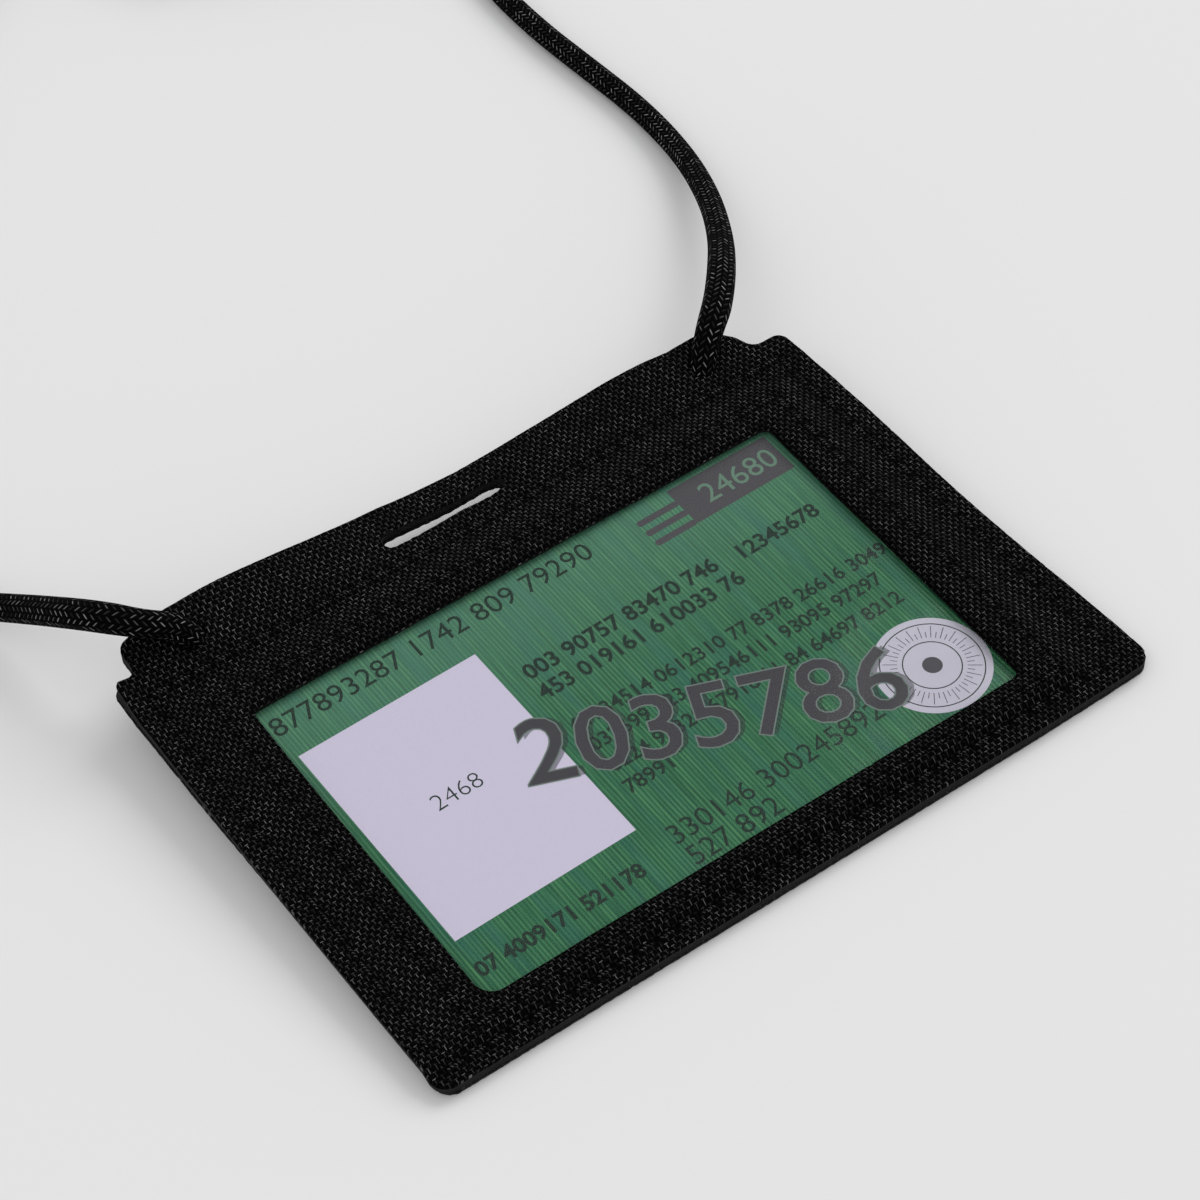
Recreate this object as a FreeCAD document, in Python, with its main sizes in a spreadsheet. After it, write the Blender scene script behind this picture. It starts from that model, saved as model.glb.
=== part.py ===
import FreeCAD, Part
import Sketcher
import math
import os

# Badge holder: two lined cloth leaves sewn round a clear window, with a card
# in the pocket and a neck cord knotted behind the header.
# Lengths are in millimetres and angles in degrees.
#
# The holder is drawn flat, with x across, y towards the header and z up from
# the rear face, from the middle of the window. It then lies on its lower edge
# and on the two knots, so every holder piece gets the same tilted placement.

doc = FreeCAD.newDocument("badge_holder")
sheet = doc.addObject("Spreadsheet::Sheet", "sizes")

size_table = [
    ("card_width", 85.6, "standard card"),
    ("card_height", 54.0, "standard card"),
    ("card_thickness", 0.76, "standard card"),
    ("card_corner", 3.18, "standard card"),
    ("card_turn", 0.85, "how far the card sits askew, degrees"),
    ("card_play_below", 0.06, "card to the rear backing"),
    ("card_play_above", 0.24, "card to the film"),
    ("side_lap", 2.8, "how far the window's sides lap over the card"),
    ("end_lap", 1.0, "how far its upper and lower edges lap over the card"),
    ("window_corner", 1.8, "corner radius of the window"),
    ("left_border", 11.2, "window to the front leaf's left edge"),
    ("rear_overhang", 0.4, "how far the rear leaf shows past it"),
    ("right_border", 11.7, "window to the right edge, at the shoulder"),
    ("right_flare", 3.3, "what the right edge gains down to the lower edge"),
    ("lower_border", 7.0, "window to the lower edge"),
    ("upper_border", 12.8, "window to the shoulders"),
    ("header_rise", 5.8, "shoulders to the header's upper edge"),
    ("left_shoulder", 2.4, "front leaf's edge to the header's left end"),
    ("right_shoulder", 4.7, "right edge to the header's right end"),
    ("lower_corner", 2.2, "radius of the two lower corners"),
    ("shoulder_corner", 1.1, "radius of the two shoulders"),
    ("header_corner", 4.4, "radius of the header's two ends"),
    ("notch_corner", 1.2, "inner radius where the header meets a shoulder"),
    ("rear_cloth_thickness", 0.7, "woven rear leaf"),
    ("rear_backing_thickness", 0.2, "its smooth coated backing"),
    ("front_backing_thickness", 0.3, "backing of the front leaf"),
    ("front_cloth_thickness", 0.7, "woven front leaf"),
    ("film_thickness", 0.2, "clear window film"),
    ("film_margin", 0.5, "film outside the window seam"),
    ("slope_run", 1.4, "width of the fall from the pocket to the border"),
    ("slope_gap", 0.1, "flat cloth between the film and that fall"),
    ("bend_drop", 6.3, "shoulders to the line where the cloth starts to rise"),
    ("left_lift", 3.8, "rise of the header's upper edge over the left knot"),
    ("right_lift", 1.9, "rise of the header's upper edge over the right knot"),
    ("lift_full", 38.0, "full rise from here outwards"),
    ("lift_still", 2.0, "no rise from here inwards"),
    ("slot_length", 19.0, "clip slot, end to end"),
    ("slot_width", 2.8, "clip slot"),
    ("slot_offset", -2.2, "slot centre from the window centre, across"),
    ("slot_drop", 4.8, "header's upper edge to the middle of the slot"),
    ("hole_clearance", 0.15, "cord hole round the cord"),
    ("seam_out_left", 3.0, "window edge to the window seam, left"),
    ("seam_out_right", 4.3, "window edge to the window seam, right"),
    ("seam_out_upper", 3.6, "window edge to the window seam, above"),
    ("seam_out_lower", 2.3, "window edge to the window seam, below"),
    ("border_inset", 2.4, "outline to the border seam"),
    ("border_drop", 3.2, "shoulder to the border seam's upper run"),
    ("stitch_pitch", 3.0, "from one stitch to the next"),
    ("stitch_gap", 0.55, "cloth between two stitches"),
    ("thread_width", 0.42, "sewing thread, pressed flat"),
    ("thread_height", 0.2, "sewing thread, pressed flat"),
    ("thread_sink", 0.08, "how deep the thread pulls into what it sews"),
    ("lie_angle", 4.0, "tilt on the knots, degrees"),
    ("cord_diameter", 3.5, "round braided cord"),
    ("left_knot_across", 8.8, "stopper knot, width"),
    ("left_knot_thickness", 6.7, "stopper knot, between table and header"),
    ("right_knot_across", 8.8, "stopper knot, width"),
    ("right_knot_thickness", 5.95, "stopper knot, between table and header"),
    ("coil_radius", 23.0, "outermost turn of the coil, to the cord's centre"),
    ("coil_gap", 0.5, "between neighbouring turns, and between the layers"),
    ("tie_width", 4.0, "band round the coil's turns"),
    ("tie_thickness", 0.5, "band round the coil's turns"),
    ("tie_clearance", 0.2, "band to the turns"),
    ("tie_corner", 1.2, "inner corner radius of the band"),
    ("coil_across", 51.0, "coil centre from the holder's centre, across"),
    ("coil_up", 184.0, "coil centre from the holder's centre, past the header"),
    ("lead_in", 14.0, "last run of the left stretch, in line with the coil"),
    ("lead_out", 8.0, "first run of the right stretch, in line with the coil"),
    ("overrun", 6.0, "how far cutting shapes pass what they cut"),
]
for row, (alias, value, note) in enumerate(size_table, start=1):
    sheet.set("A%d" % row, alias)
    sheet.set("B%d" % row, str(value))
    sheet.set("C%d" % row, note)
    sheet.setAlias("B%d" % row, alias)
doc.recompute()
size = {alias: float(sheet.get(alias)) for alias, value, note in size_table}

# Heights of the faces of the plies at the border, from the rear face up.
rear_top = size["rear_cloth_thickness"]
pocket_floor = rear_top + size["rear_backing_thickness"]
backing_top = pocket_floor + size["front_backing_thickness"]
border_top = backing_top + size["front_cloth_thickness"]
# The front leaf stands this much higher over the card and the film.
pocket_rise = (size["card_play_below"] + size["card_thickness"]
               + size["card_play_above"] + size["film_thickness"])
card_level = pocket_floor + size["card_play_below"]
film_level = card_level + size["card_thickness"] + size["card_play_above"]

half_window = size["card_width"] / 2 - size["side_lap"]
half_height = size["card_height"] / 2 - size["end_lap"]
seam_left = -half_window - size["seam_out_left"]
seam_right = half_window + size["seam_out_right"]
seam_upper = half_height + size["seam_out_upper"]
seam_lower = -half_height - size["seam_out_lower"]
left_edge = -half_window - size["left_border"]
right_edge = half_window + size["right_border"]
right_lower = right_edge + size["right_flare"]
lower_edge = -half_height - size["lower_border"]
shoulder = half_height + size["upper_border"]
header_edge = shoulder + size["header_rise"]
bend = shoulder - size["bend_drop"]
header_depth = header_edge - bend
cut_left = left_edge - size["overrun"]
cut_right = right_lower + size["overrun"]

# The holder's lie: turned about its lower edge, then centred on the origin.
lie = math.radians(size["lie_angle"])
shift_across = (size["rear_overhang"] - left_edge - right_lower) / 2
shift_up = (border_top * math.sin(lie) - (header_edge - lower_edge) * math.cos(lie)) / 2
tilt = FreeCAD.Rotation(FreeCAD.Vector(1, 0, 0), size["lie_angle"])
holder_place = FreeCAD.Placement(
    FreeCAD.Vector(shift_across, shift_up, 0)
    - tilt.multVec(FreeCAD.Vector(0, lower_edge, 0)), tilt)


def vec(x, y, z=0):
    return FreeCAD.Vector(x, y, z)


def add_feature(label, shape, place=None):
    """A sub-part whose shape is worked out above from the sheet."""
    piece = doc.addObject("Part::Feature", label)
    piece.Label = label
    piece.Shape = shape
    if place is not None:
        piece.Placement = place
    return piece


def rounding(before, corner, after, radius):
    """Start, middle and end of the arc that rounds a corner."""
    back = (before - corner).normalize()
    ahead = (after - corner).normalize()
    half_turn = (math.pi - back.getAngle(ahead)) / 2
    cut = radius * math.tan(half_turn)
    start = corner + back * cut
    end = corner + ahead * cut
    chord = (start + end) / 2
    share = math.tan(half_turn / 2) / math.tan(half_turn)
    return start, chord + (corner - chord) * share, end


def rounded_wire(corners, radii):
    """A closed flat outline of straight edges and tangent arcs."""
    count = len(corners)
    arcs = [rounding(corners[k - 1], corners[k], corners[(k + 1) % count], radii[k])
            for k in range(count)]
    edges = []
    for k in range(count):
        start, middle, end = arcs[k]
        edges.append(Part.LineSegment(arcs[k - 1][2], start).toShape())
        edges.append(Part.Arc(start, middle, end).toShape())
    return Part.Wire(edges)


def rectangle(left, lower, right, upper, level=0):
    corners = [vec(left, lower, level), vec(right, lower, level),
               vec(right, upper, level), vec(left, upper, level)]
    return Part.makePolygon(corners + corners[:1])


def header_lift(x):
    """Rise of the header's upper edge above the border, at x."""
    most = size["left_lift"] if x < 0 else size["right_lift"]
    span = size["lift_full"] - size["lift_still"]
    share = min(max((abs(x) - size["lift_still"]) / span, 0), 1)
    return most * share * share * (3 - 2 * share)


# The fall from the pocket to the border starts just outside the film. The
# left side stays open, for the card.
film_left = seam_left - size["film_margin"]
film_right = seam_right + size["film_margin"]
film_upper = seam_upper + size["film_margin"]
film_lower = seam_lower - size["film_margin"]
flat_right = film_right + size["slope_gap"]
flat_upper = film_upper + size["slope_gap"]
flat_lower = film_lower - size["slope_gap"]


def leaf_height(x, y, raised):
    """Height that the lie of the leaf adds to its border level, at x, y."""
    if y > bend:
        return header_lift(x) * (y - bend) / header_depth
    if not raised:
        return 0
    outside = max(x - flat_right, y - flat_upper, flat_lower - y, 0)
    return pocket_rise * max(1 - outside / size["slope_run"], 0)


def body_block(level, raised):
    """Everything below one face of a leaf, up to where the header rises."""
    lower = lower_edge - size["overrun"]
    block = Part.makeBox(cut_right - cut_left, bend - lower,
                         level + size["overrun"], vec(cut_left, lower, -size["overrun"]))
    if raised:
        run = size["slope_run"]
        foot = rectangle(cut_left, flat_lower - run, flat_right + run, flat_upper + run, level)
        crown = rectangle(cut_left, flat_lower, flat_right, flat_upper, level + pocket_rise)
        block = block.fuse(Part.makeLoft([foot, crown], True, True))
    return block


def crest(level, reach):
    """The wave of the header's upper edge, as one smooth edge."""
    steps = 16  # points that the smooth edge is drawn through
    grow = (reach - bend) / header_depth
    places = [cut_left + (cut_right - cut_left) * k / steps for k in range(steps + 1)]
    wave = Part.BSplineCurve()
    wave.interpolate([vec(x, reach, level + header_lift(x) * grow) for x in places])
    return wave.toShape()


def header_band(lower, upper):
    """The part of a ply above the bend, whose ends rise over the knots."""
    reach = header_edge + size["overrun"]
    start = Part.makePolygon([
        vec(cut_left, bend, lower), vec(cut_right, bend, lower),
        vec(cut_right, bend, upper), vec(cut_left, bend, upper), vec(cut_left, bend, lower)])
    under = crest(lower, reach)
    over = crest(upper, reach)
    right_end = Part.LineSegment(under.lastVertex().Point, over.lastVertex().Point).toShape()
    left_end = Part.LineSegment(over.firstVertex().Point, under.firstVertex().Point).toShape()
    end = Part.Wire([under, right_end, over, left_end])
    return Part.makeLoft([start, end], True, True)


def outline_wire(left):
    """A leaf's outline: a body with two shoulders, and the header."""
    header_left = left_edge + size["left_shoulder"]
    header_right = right_edge - size["right_shoulder"]
    corners = [
        (left, lower_edge, "lower_corner"), (right_lower, lower_edge, "lower_corner"),
        (right_edge, shoulder, "shoulder_corner"), (header_right, shoulder, "notch_corner"),
        (header_right, header_edge, "header_corner"), (header_left, header_edge, "header_corner"),
        (header_left, shoulder, "notch_corner"), (left, shoulder, "shoulder_corner")]
    return rounded_wire([vec(x, y) for x, y, name in corners],
                        [size[name] for x, y, name in corners])


def upright(wire):
    """A tall cutting block over a flat outline."""
    wire.translate(vec(0, 0, -size["overrun"]))
    tall = 2 * size["overrun"] + border_top + pocket_rise + size["left_lift"]
    return Part.Face(wire).extrude(vec(0, 0, tall))


def window_block():
    corners = [vec(-half_window, -half_height), vec(half_window, -half_height),
               vec(half_window, half_height), vec(-half_window, half_height)]
    return upright(rounded_wire(corners, [size["window_corner"]] * len(corners)))


def slot_block():
    """The clip slot: straight sides and half-round ends."""
    radius = size["slot_width"] / 2
    reach = size["slot_length"] / 2 - radius
    middle, line = size["slot_offset"], header_edge - size["slot_drop"]
    upper_right, lower_right = vec(middle + reach, line + radius), vec(middle + reach, line - radius)
    upper_left, lower_left = vec(middle - reach, line + radius), vec(middle - reach, line - radius)
    edges = [
        Part.LineSegment(lower_left, lower_right).toShape(),
        Part.Arc(lower_right, vec(middle + reach + radius, line), upper_right).toShape(),
        Part.LineSegment(upper_right, upper_left).toShape(),
        Part.Arc(upper_left, vec(middle - reach - radius, line), lower_left).toShape()]
    return upright(Part.Wire(edges))


# The cord's routes, in the finished lie and chosen by hand: from inside each
# knot, up through its hole, over the header and down to the table.
table_level = size["cord_diameter"] / 2
left_route = [
    (-41.1, 33.6, 6.3), (-42.4, 33.8, 12.2), (-48.2, 36.4, 13.3), (-52.0, 43.7, 11.7),
    (-55.8, 52.6, 7.8), (-60.2, 62.7, 4.1), (-63.2, 75.0, table_level),
    (-62.6, 89.5, table_level), (-57.8, 105.5, table_level), (-50.4, 121.0, table_level),
    (-41.8, 136.5, table_level), (-30.8, 152.5, table_level), (-16.0, 168.0, table_level),
    (0.5, 182.0, table_level), (16.5, 196.5, table_level)]
right_route = [
    (37.6, 33.8, 5.4), (38.9, 34.4, 11.2), (43.6, 38.0, 12.0), (49.6, 44.6, 10.6),
    (56.0, 53.6, 8.2), (61.6, 64.2, 5.3), (66.0, 77.4, 2.3), (68.2, 91.0, table_level),
    (67.6, 104.5, table_level), (67.5, 117.0, table_level), (68.4, 131.0, table_level),
    (71.4, 148.0, table_level), (73.2, 162.0, 3.4)]
left_route = [vec(*point) for point in left_route]
right_route = [vec(*point) for point in right_route]


def cord_hole(route):
    """A round hole along the cord's first run, through the whole header."""
    run = (route[1] - route[0]).normalize()
    radius = size["cord_diameter"] / 2 + size["hole_clearance"]
    length = route[0].distanceToPoint(route[1]) + 2 * size["overrun"]
    hole = Part.makeCylinder(radius, length, route[0] - run * size["overrun"], run)
    hole.Placement = holder_place.inverse() * hole.Placement
    return hole


front_outline = upright(outline_wire(left_edge))
rear_outline = upright(outline_wire(left_edge - size["rear_overhang"]))
header_cuts = [slot_block(), cord_hole(left_route), cord_hole(right_route)]


def ply(lower, upper, raised, outline, cuts):
    """One layer of cloth or backing between two levels of the border."""
    body = body_block(upper, raised).cut(body_block(lower, raised))
    whole = body.fuse(header_band(lower, upper)).common(outline)
    for block in header_cuts + cuts:
        whole = whole.cut(block)
    return whole.Solids[0]


add_feature("rear_cloth", ply(0, rear_top, False, rear_outline, []), holder_place)
add_feature("rear_backing", ply(rear_top, pocket_floor, False, rear_outline, []), holder_place)
add_feature("front_backing",
            ply(pocket_floor, backing_top, True, front_outline, [window_block()]), holder_place)
add_feature("front_cloth",
            ply(backing_top, border_top, True, front_outline, [window_block()]), holder_place)

# Clear film, seated under the front backing all round the window.
window_film = doc.addObject("Part::Box", "window_film")
window_film.Label = "window_film"
window_film.setExpression(
    "Length", "sizes.card_width - 2 * sizes.side_lap + sizes.seam_out_left"
    " + sizes.seam_out_right + 2 * sizes.film_margin")
window_film.setExpression(
    "Width", "sizes.card_height - 2 * sizes.end_lap + sizes.seam_out_upper"
    " + sizes.seam_out_lower + 2 * sizes.film_margin")
window_film.setExpression("Height", "sizes.film_thickness")
window_film.Placement = holder_place * FreeCAD.Placement(
    vec(film_left, film_lower, film_level), FreeCAD.Rotation())


def flat_sketch(body, name):
    """An empty sketch on the body's own flat plane."""
    sketch = body.newObject("Sketcher::SketchObject", name)
    plane = [f for f in body.Origin.OriginFeatures if f.Role == "XY_Plane"][0]
    sketch.AttachmentSupport = [(plane, "")]
    sketch.MapMode = "FlatFace"
    return sketch


def sketch_rectangle(sketch, width, height, width_rule, height_rule):
    """A rectangle round the sketch's origin, whose sides follow the two rules."""
    first = sketch.GeometryCount
    sides = range(first, first + 4)
    corners = [vec(-width / 2, -height / 2), vec(width / 2, -height / 2),
               vec(width / 2, height / 2), vec(-width / 2, height / 2)]
    for corner, following in zip(corners, corners[1:] + corners[:1]):
        sketch.addGeometry(Part.LineSegment(corner, following), False)
    for side, following in zip(sides, list(sides[1:]) + [first]):
        sketch.addConstraint(Sketcher.Constraint("Coincident", side, 2, following, 1))
    for side, kind in zip(sides, ("Horizontal", "Vertical", "Horizontal", "Vertical")):
        sketch.addConstraint(Sketcher.Constraint(kind, side))
    sketch.addConstraint(Sketcher.Constraint("Symmetric", first, 1, first + 1, 2, -1, 1))
    for kind, side, length, rule in (("DistanceX", first, width, width_rule),
                                     ("DistanceY", first + 1, height, height_rule)):
        distance = Sketcher.Constraint(kind, side, 1, side, 2, length)
        sketch.setExpression("Constraints[%d]" % sketch.addConstraint(distance), rule)


def round_upright_edges(body, base, name, radius_rule, wanted):
    """Rounds those edges square to the sketch whose middles pass the test."""
    picked = ["Edge%d" % (k + 1) for k, edge in enumerate(base.Shape.Edges)
              if abs(edge.tangentAt(edge.FirstParameter).z) > math.sqrt(1 / 2)
              and wanted(edge.CenterOfMass)]
    rounded = body.newObject("PartDesign::Fillet", name)
    rounded.Base = (base, picked)
    rounded.setExpression("Radius", radius_rule)
    body.Tip = rounded
    doc.recompute()
    return rounded


def pad(body, name, sketch, length_rule):
    padded = body.newObject("PartDesign::Pad", name)
    padded.Profile = sketch
    padded.setExpression("Length", length_rule)
    doc.recompute()
    return padded


# The card: one sketch, padded, with its four corners rounded.
card = doc.addObject("PartDesign::Body", "card")
card.Label = "card"
card_outline = flat_sketch(card, "card_outline")
sketch_rectangle(card_outline, size["card_width"], size["card_height"],
                 "sizes.card_width", "sizes.card_height")
card_sheet = pad(card, "card_sheet", card_outline, "sizes.card_thickness")
round_upright_edges(card, card_sheet, "card_corners", "sizes.card_corner", lambda place: True)
card.Placement = holder_place * FreeCAD.Placement(
    vec(0, 0, card_level), FreeCAD.Rotation(vec(0, 0, 1), size["card_turn"]))


def stitch(start, end, upwards, sink):
    """One stitch: a flat bar from start to end, pulled into the cloth by sink."""
    along = end - start
    length = along.Length
    side = upwards.cross(along).normalize()
    face = along.cross(side).normalize()
    bar = Part.makeBox(length, size["thread_width"], size["thread_height"],
                       vec(0, -size["thread_width"] / 2, -sink))
    bar.Placement = FreeCAD.Placement(start, FreeCAD.Rotation(along, side, face, "XZY"))
    return bar


def creased_run(start, end, creases):
    """A run up or down the holder, cut where it crosses creases in the leaf."""
    places = [start.y] + sorted(creases, reverse=start.y > end.y) + [end.y]
    points = [start + (end - start) * ((y - start.y) / (end.y - start.y)) for y in places]
    return list(zip(points, points[1:]))


def stitched_line(runs, level, raised, upwards, sink):
    """Stitches along flat runs, each laid on the leaf's own height."""
    bars = []
    for start, end in runs:
        length = start.distanceToPoint(end)
        count = max(int(round(length / size["stitch_pitch"])), 1)
        pitch = length / count
        along = (end - start).normalize()
        for k in range(count):
            first = start + along * (k * pitch + size["stitch_gap"] / 2)
            last = start + along * ((k + 1) * pitch - size["stitch_gap"] / 2)
            ends = [vec(p.x, p.y, level + leaf_height(p.x, p.y, raised))
                    for p in (first, last)]
            bars.append(stitch(ends[0], ends[1], upwards, sink))
    return Part.makeCompound(bars)


upper_side, under_side = vec(0, 0, 1), vec(0, 0, -1)
sunk, flush = size["thread_sink"], size["thread_height"]

# Window seam: through the front leaf and the film, all round.
window_corners = [vec(seam_left, seam_lower), vec(seam_right, seam_lower),
                  vec(seam_right, seam_upper), vec(seam_left, seam_upper)]
window_runs = list(zip(window_corners, window_corners[1:] + window_corners[:1]))
add_feature("window_seam_needle_thread",
            stitched_line(window_runs, border_top, True, upper_side, sunk), holder_place)
add_feature("window_seam_bobbin_thread",
            stitched_line(window_runs, film_level - pocket_rise, True, under_side, sunk),
            holder_place)

# Border seam: through both leaves above, at the right and below.
border_left = left_edge + size["border_inset"]
border_upper = shoulder - size["border_drop"]
border_lower = lower_edge + size["border_inset"]
edge_slant = size["right_flare"] / (shoulder - lower_edge)
border_right_upper = right_edge - size["border_inset"] + edge_slant * size["border_drop"]
border_right_lower = right_lower - size["border_inset"] - edge_slant * size["border_inset"]
border_corners = [vec(border_left, border_upper), vec(border_right_upper, border_upper),
                  vec(border_right_lower, border_lower), vec(border_left, border_lower)]
border_runs = [(vec(border_left, bend), border_corners[0]), border_corners[0:2]]
border_runs += creased_run(*border_corners[1:3], [bend]) + [border_corners[2:4]]
add_feature("border_seam_needle_thread",
            stitched_line(border_runs, border_top, True, upper_side, sunk), holder_place)
add_feature("border_seam_bobbin_thread",
            stitched_line(border_runs, 0, False, under_side, flush), holder_place)

# Opening hem: the same line where the pocket is open, through the front leaf alone.
slope_run = size["slope_run"]
hem_runs = creased_run(vec(border_left, flat_upper + slope_run),
                       vec(border_left, flat_lower - slope_run), [flat_upper, flat_lower])
add_feature("opening_hem_needle_thread",
            stitched_line(hem_runs, border_top, True, upper_side, sunk), holder_place)
add_feature("opening_hem_bobbin_thread",
            stitched_line(hem_runs, pocket_floor, True, under_side, flush), holder_place)


def tube(edges, start, direction, label):
    """A round tube along a path, its volume held against section times length."""
    radius = size["cord_diameter"] / 2
    path = Part.Wire(edges)
    ring = Part.Wire([Part.makeCircle(radius, start, direction)])
    solid = path.makePipeShell([ring], True, False)
    section = math.pi * radius * radius
    print("%s: length %.1f, volume over section times length %.5f"
          % (label, path.Length, solid.Volume / (section * path.Length)))
    return solid


def cord_stretch(route, label):
    """Straight runs joined by arcs as large as their runs allow."""
    arc_share = 0.45
    edges, radii = [], []
    last = route[0]
    for before, corner, after in zip(route, route[1:], route[2:]):
        half_turn = (corner - before).getAngle(after - corner) / 2
        shorter = min(before.distanceToPoint(corner), corner.distanceToPoint(after))
        radius = arc_share * shorter / math.tan(half_turn)
        start, middle, end = rounding(before, corner, after, radius)
        edges.append(Part.LineSegment(last, start).toShape())
        edges.append(Part.Arc(start, middle, end).toShape())
        radii.append(radius)
        last = end
    edges.append(Part.LineSegment(last, route[-1]).toShape())
    print("%s: arc radii %s" % (label, " ".join("%.1f" % radius for radius in radii)))
    return tube(edges, route[0], route[1] - route[0], label)


# The coil: clockwise from its far side, in towards the middle on the table,
# a layer up in the half turn where it reverses, and out again.
coil_turns = 4.25
full_turn = 2 * math.pi
half_winding = coil_turns * full_turn / 2
coil_pitch = size["cord_diameter"] + size["coil_gap"]
coil_level = table_level + size["tie_thickness"] + size["tie_clearance"]


def coil_point(angle):
    from_middle = abs(angle - half_winding)
    ease = full_turn / 4
    if from_middle < ease:
        from_middle = (from_middle ** 2 + ease ** 2) / (2 * ease)
    radius = size["coil_radius"] - coil_pitch * (half_winding - from_middle) / full_turn
    climb = min(max((angle - half_winding) / (2 * ease) + 1 / 2, 0), 1)
    level = coil_level + coil_pitch * climb * climb * (3 - 2 * climb)
    return vec(size["coil_across"] + radius * math.sin(angle),
               size["coil_up"] + radius * math.cos(angle), level)


heading_share = 1 / 3600  # of a turn, to either side, for the coil's direction


def coil_heading(angle):
    step = full_turn * heading_share
    return (coil_point(angle + step) - coil_point(angle - step)).normalize()


def arc_from(start, heading, end):
    """The arc that leaves start along heading and reaches end."""
    chord = end - start
    half_turn = chord.getAngle(heading)
    corner = start + heading * (chord.Length / 2 / math.cos(half_turn))
    middle = (start + end) / 2
    share = math.tan(half_turn / 2) / math.tan(half_turn)
    return Part.Arc(start, middle + (corner - middle) * share, end).toShape()


def biarc(start, heading, end, end_heading):
    """Two arcs that join tangentially and keep both headings."""
    chord = end - start
    spread = chord.dot(heading + end_heading)
    turn = 2 * (1 - heading.dot(end_heading))
    reach = (math.sqrt(spread ** 2 + turn * chord.dot(chord)) - spread) / turn
    joint = (start + end + (heading - end_heading) * reach) / 2
    first = arc_from(start, heading, joint)
    second = arc_from(end, end_heading * -1, joint)
    return [first, second]


quarter_turns = int(coil_turns * 4)
angles = [full_turn / 4 * k for k in range(quarter_turns + 1)]
coil_start, coil_end = coil_point(angles[0]), coil_point(angles[-1])
start_heading, end_heading = coil_heading(angles[0]), coil_heading(angles[-1])
straight_end = size["cord_diameter"]
coil_entry = coil_start - start_heading * straight_end
coil_exit = coil_end + end_heading * straight_end
coil_edges = [Part.LineSegment(coil_entry, coil_start).toShape()]
for here, there in zip(angles, angles[1:]):
    coil_edges += biarc(coil_point(here), coil_heading(here),
                        coil_point(there), coil_heading(there))
coil_edges.append(Part.LineSegment(coil_end, coil_exit).toShape())

samples_per_turn = 72
samples = [coil_point(full_turn * k / samples_per_turn)
           for k in range(int(coil_turns * samples_per_turn) + 1)]
least_gap = min(a.distanceToPoint(b) for k, a in enumerate(samples)
                for b in samples[k + samples_per_turn // 2:]) - size["cord_diameter"]
print("cord_coil: least gap to itself %.2f" % least_gap)

left_route += [coil_entry - start_heading * size["lead_in"], coil_entry]
right_route += [coil_exit + end_heading * size["lead_out"], coil_exit]
add_feature("cord_left", cord_stretch(left_route, "cord_left"))
add_feature("cord_right", cord_stretch(right_route, "cord_right"))
add_feature("cord_coil", tube(coil_edges, coil_entry, start_heading, "cord_coil"))

# A band holds the coil's turns together, two side by side in each layer.
tie_angle = full_turn * 5 / 8
tie = doc.addObject("PartDesign::Body", "coil_tie")
tie.Label = "coil_tie"
tie_section = flat_sketch(tie, "tie_section")
half_turns = size["cord_diameter"] + size["tie_clearance"] + size["coil_gap"] / 2
turns_rule = "2 * (sizes.cord_diameter + sizes.tie_clearance) + sizes.coil_gap"
for wall, wall_rule in ((0, ""), (size["tie_thickness"], " + 2 * sizes.tie_thickness")):
    sketch_rectangle(tie_section, 2 * (half_turns + wall), 2 * (half_turns + wall),
                     turns_rule + wall_rule, turns_rule + wall_rule)
tie_band = pad(tie, "tie_band", tie_section, "sizes.tie_width")
middle_of_wall = half_turns + size["tie_thickness"] / 2
tie_inside = round_upright_edges(tie, tie_band, "tie_inner_corners", "sizes.tie_corner",
                                 lambda place: abs(place.x) < middle_of_wall)
round_upright_edges(tie, tie_inside, "tie_outer_corners",
                    "sizes.tie_corner + sizes.tie_thickness",
                    lambda place: abs(place.x) > middle_of_wall)
outward = vec(math.sin(tie_angle), math.cos(tie_angle))
tie_middle = (coil_point(tie_angle) + coil_point(tie_angle + full_turn)) / 2
tie_middle.z = size["tie_thickness"] + half_turns
tie_turn = FreeCAD.Rotation(outward, vec(0, 0, 1), outward.cross(vec(0, 0, 1)), "XYZ")
tie.Placement = FreeCAD.Placement(
    tie_middle - outward.cross(vec(0, 0, 1)) * (size["tie_width"] / 2), tie_turn)

# Stopper knots, each drawn up under its hole and flattened by the holder.
for side, route in (("left", left_route), ("right", right_route)):
    knot = doc.addObject("Part::Ellipsoid", "knot_" + side)
    knot.Label = "knot_" + side
    knot.setExpression("Radius1", "sizes.%s_knot_thickness / 2" % side)
    knot.setExpression("Radius2", "sizes.%s_knot_across / 2" % side)
    knot.setExpression("Radius3", "sizes.%s_knot_across / 2" % side)
    knot.Placement.Base = vec(route[0].x, route[0].y, size[side + "_knot_thickness"] / 2)

doc.recompute()

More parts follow.
